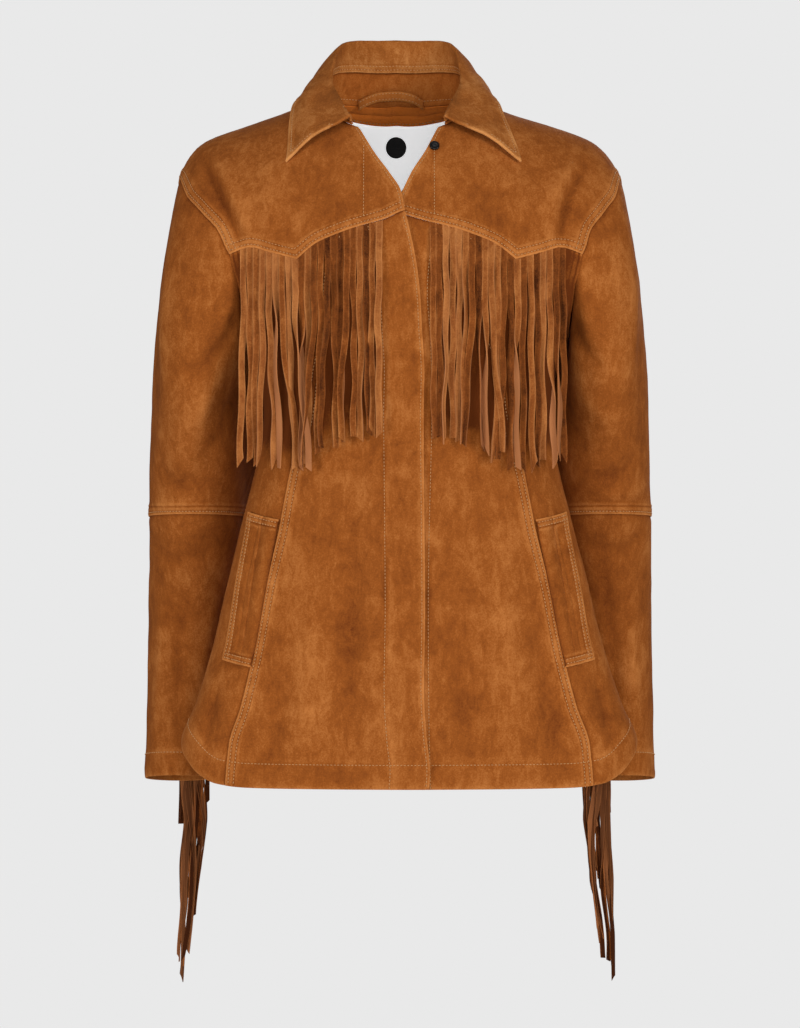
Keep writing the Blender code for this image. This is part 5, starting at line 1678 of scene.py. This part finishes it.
# ---------------------------------------------------------------- stage
def make_stage():
    """Plain pale floor, soft studio light and the camera in front of the jacket."""
    scene = bpy.context.scene
    settings = scene.suede_jacket
    scene.view_settings.view_transform = "Standard"
    bpy.ops.object.select_all(action="DESELECT")
    bpy.ops.mesh.primitive_circle_add(vertices=96, radius=FLOOR_RADIUS, fill_type="NGON",
                                      location=(0.0, 0.0, FLOOR_Z))
    floor = bpy.context.object
    floor.name = "floor"
    bpy.ops.object.transform_apply(location=True, rotation=True, scale=True)
    floor.data.materials.append(plain_finish("matt_paper", "#E9E9E9", 0.9, 0.4, 0.0001, 0.02))
    world = bpy.data.worlds.new("studio")
    scene.world = world
    world.use_nodes = True
    tree = world.node_tree
    tree.nodes.clear()
    seen = add(tree, "ShaderNodeLightPath").outputs["Is Camera Ray"]
    dim = add(tree, "ShaderNodeBackground", {"Color": (*settings.backdrop, 1.0), "Strength": ROOM_LIGHT})
    pale = add(tree, "ShaderNodeBackground", {"Color": (*settings.backdrop, 1.0), "Strength": 1.0})
    either = add(tree, "ShaderNodeMixShader", {0: seen, 1: dim.outputs[0], 2: pale.outputs[0]})
    add(tree, "ShaderNodeOutputWorld", {"Surface": either.outputs[0]})
    middle = Vector((SLEEVE_CENTRE, 0.0, -0.38))
    for name, place, size, power in STUDIO_LIGHTS:
        light = bpy.data.lights.new(name, "AREA")
        light.shape = "RECTANGLE"
        light.size = size[0]
        light.size_y = size[1]
        light.energy = power * settings.brightness
        lamp = bpy.data.objects.new(name, light)
        lamp.location = place
        lamp.rotation_euler = (middle - Vector(place)).to_track_quat("-Z", "Y").to_euler()
        scene.collection.objects.link(lamp)
    lens = bpy.data.cameras.new("camera")
    lens.sensor_width = 36.0
    lens.lens = 36.0 * CAMERA_AWAY / CAMERA_VIEW
    camera = bpy.data.objects.new("camera", lens)
    camera.location = (SLEEVE_CENTRE, -CAMERA_AWAY, CAMERA_Z)
    camera.rotation_euler = (math.radians(90.0), 0.0, 0.0)
    scene.collection.objects.link(camera)
    scene.camera = camera


# ---------------------------------------------------------------- the add-on
class SuedeJacketSettings(bpy.types.PropertyGroup):
    strand_width: bpy.props.FloatProperty(
        name="Strand width", description="Width of a strand of the front fringe",
        default=0.0068, unit="LENGTH")
    strand_wall: bpy.props.FloatProperty(
        name="Strand thickness", description="Thickness of the fringe leather", default=0.0013, unit="LENGTH")
    backdrop: bpy.props.FloatVectorProperty(
        name="Backdrop", description="Colour of the studio's backdrop", default=linear("#E9E9E9"),
        subtype="COLOR", size=3, min=0.0, max=1.0)
    brightness: bpy.props.FloatProperty(
        name="Brightness", description="Power of the studio lights, as a share of the usual", default=1.0,
        min=0.0, subtype="FACTOR")


class SUEDE_OT_stage(bpy.types.Operator):
    """Set up the floor, the studio lights and the camera"""
    bl_idname = "suede.stage"
    bl_label = "Stage"

    def execute(self, context):
        make_stage()
        return {"FINISHED"}


class SUEDE_OT_back(bpy.types.Operator):
    """Cut and shape the back, with its facing and label"""
    bl_idname = "suede.back"
    bl_label = "Back"

    def execute(self, context):
        make_back(fold_lines(BACK_FOLDS, behind=True))
        make_neck_lining()
        return {"FINISHED"}


class SUEDE_OT_fronts(bpy.types.Operator):
    """Cut and shape the yokes, centre fronts, side fronts and pocket welts"""
    bl_idname = "suede.fronts"
    bl_label = "Fronts"

    def execute(self, context):
        lines = fold_lines(FRONT_FOLDS, behind=False)
        for side, name in SIDES:
            make_fronts(side, name, lines)
            make_welt(side, name, lines)
        return {"FINISHED"}


class SUEDE_OT_sleeves(bpy.types.Operator):
    """Cut and shape the upper and lower sleeves"""
    bl_idname = "suede.sleeves"
    bl_label = "Sleeves"

    def execute(self, context):
        for seed, (side, name) in enumerate(SIDES):
            make_sleeve(side, name, 20 + 7 * seed)
        return {"FINISHED"}


class SUEDE_OT_collar(bpy.types.Operator):
    """Cut and shape the collar's stand and fall, and the hanger loop"""
    bl_idname = "suede.collar"
    bl_label = "Collar"

    def execute(self, context):
        make_collar()
        make_hanger()
        return {"FINISHED"}


class SUEDE_OT_fringe(bpy.types.Operator):
    """Cut the strands that hang from the yokes and from the sleeves"""
    bl_idname = "suede.fringe"
    bl_label = "Fringe"

    def execute(self, context):
        for side, name in SIDES:
            make_front_fringe(side, name)
            make_sleeve_fringe(side, name)
        return {"FINISHED"}


class SUEDE_OT_stitches(bpy.types.Operator):
    """Sew every row of stitches"""
    bl_idname = "suede.stitches"
    bl_label = "Stitches"

    def execute(self, context):
        make_stitches()
        return {"FINISHED"}


class SUEDE_OT_snap(bpy.types.Operator):
    """Turn the press snap's cap"""
    bl_idname = "suede.snap"
    bl_label = "Snap"

    def execute(self, context):
        make_snap()
        return {"FINISHED"}


STEPS = (SUEDE_OT_stage, SUEDE_OT_back, SUEDE_OT_fronts, SUEDE_OT_sleeves, SUEDE_OT_collar, SUEDE_OT_fringe,
         SUEDE_OT_stitches, SUEDE_OT_snap)


class SUEDE_PT_panel(bpy.types.Panel):
    """Lists the jacket's settings and steps"""
    bl_idname = "SUEDE_PT_panel"
    bl_label = "Fringed Suede Jacket"
    bl_space_type = "VIEW_3D"
    bl_region_type = "UI"
    bl_category = "Jacket"

    def draw(self, context):
        for key in SuedeJacketSettings.__annotations__:
            self.layout.prop(context.scene.suede_jacket, key)
        for each in STEPS:
            self.layout.operator(each.bl_idname)


CLASSES = (SuedeJacketSettings, *STEPS, SUEDE_PT_panel)


def register():
    for each in CLASSES:
        bpy.utils.register_class(each)
    bpy.types.Scene.suede_jacket = bpy.props.PointerProperty(type=SuedeJacketSettings)


def unregister():
    del bpy.types.Scene.suede_jacket
    for each in reversed(CLASSES):
        bpy.utils.unregister_class(each)


def main():
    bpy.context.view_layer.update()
    register()
    for each in STEPS:
        group, action = each.bl_idname.split(".")
        getattr(getattr(bpy.ops, group), action)()


if __name__ == "__main__":
    main()
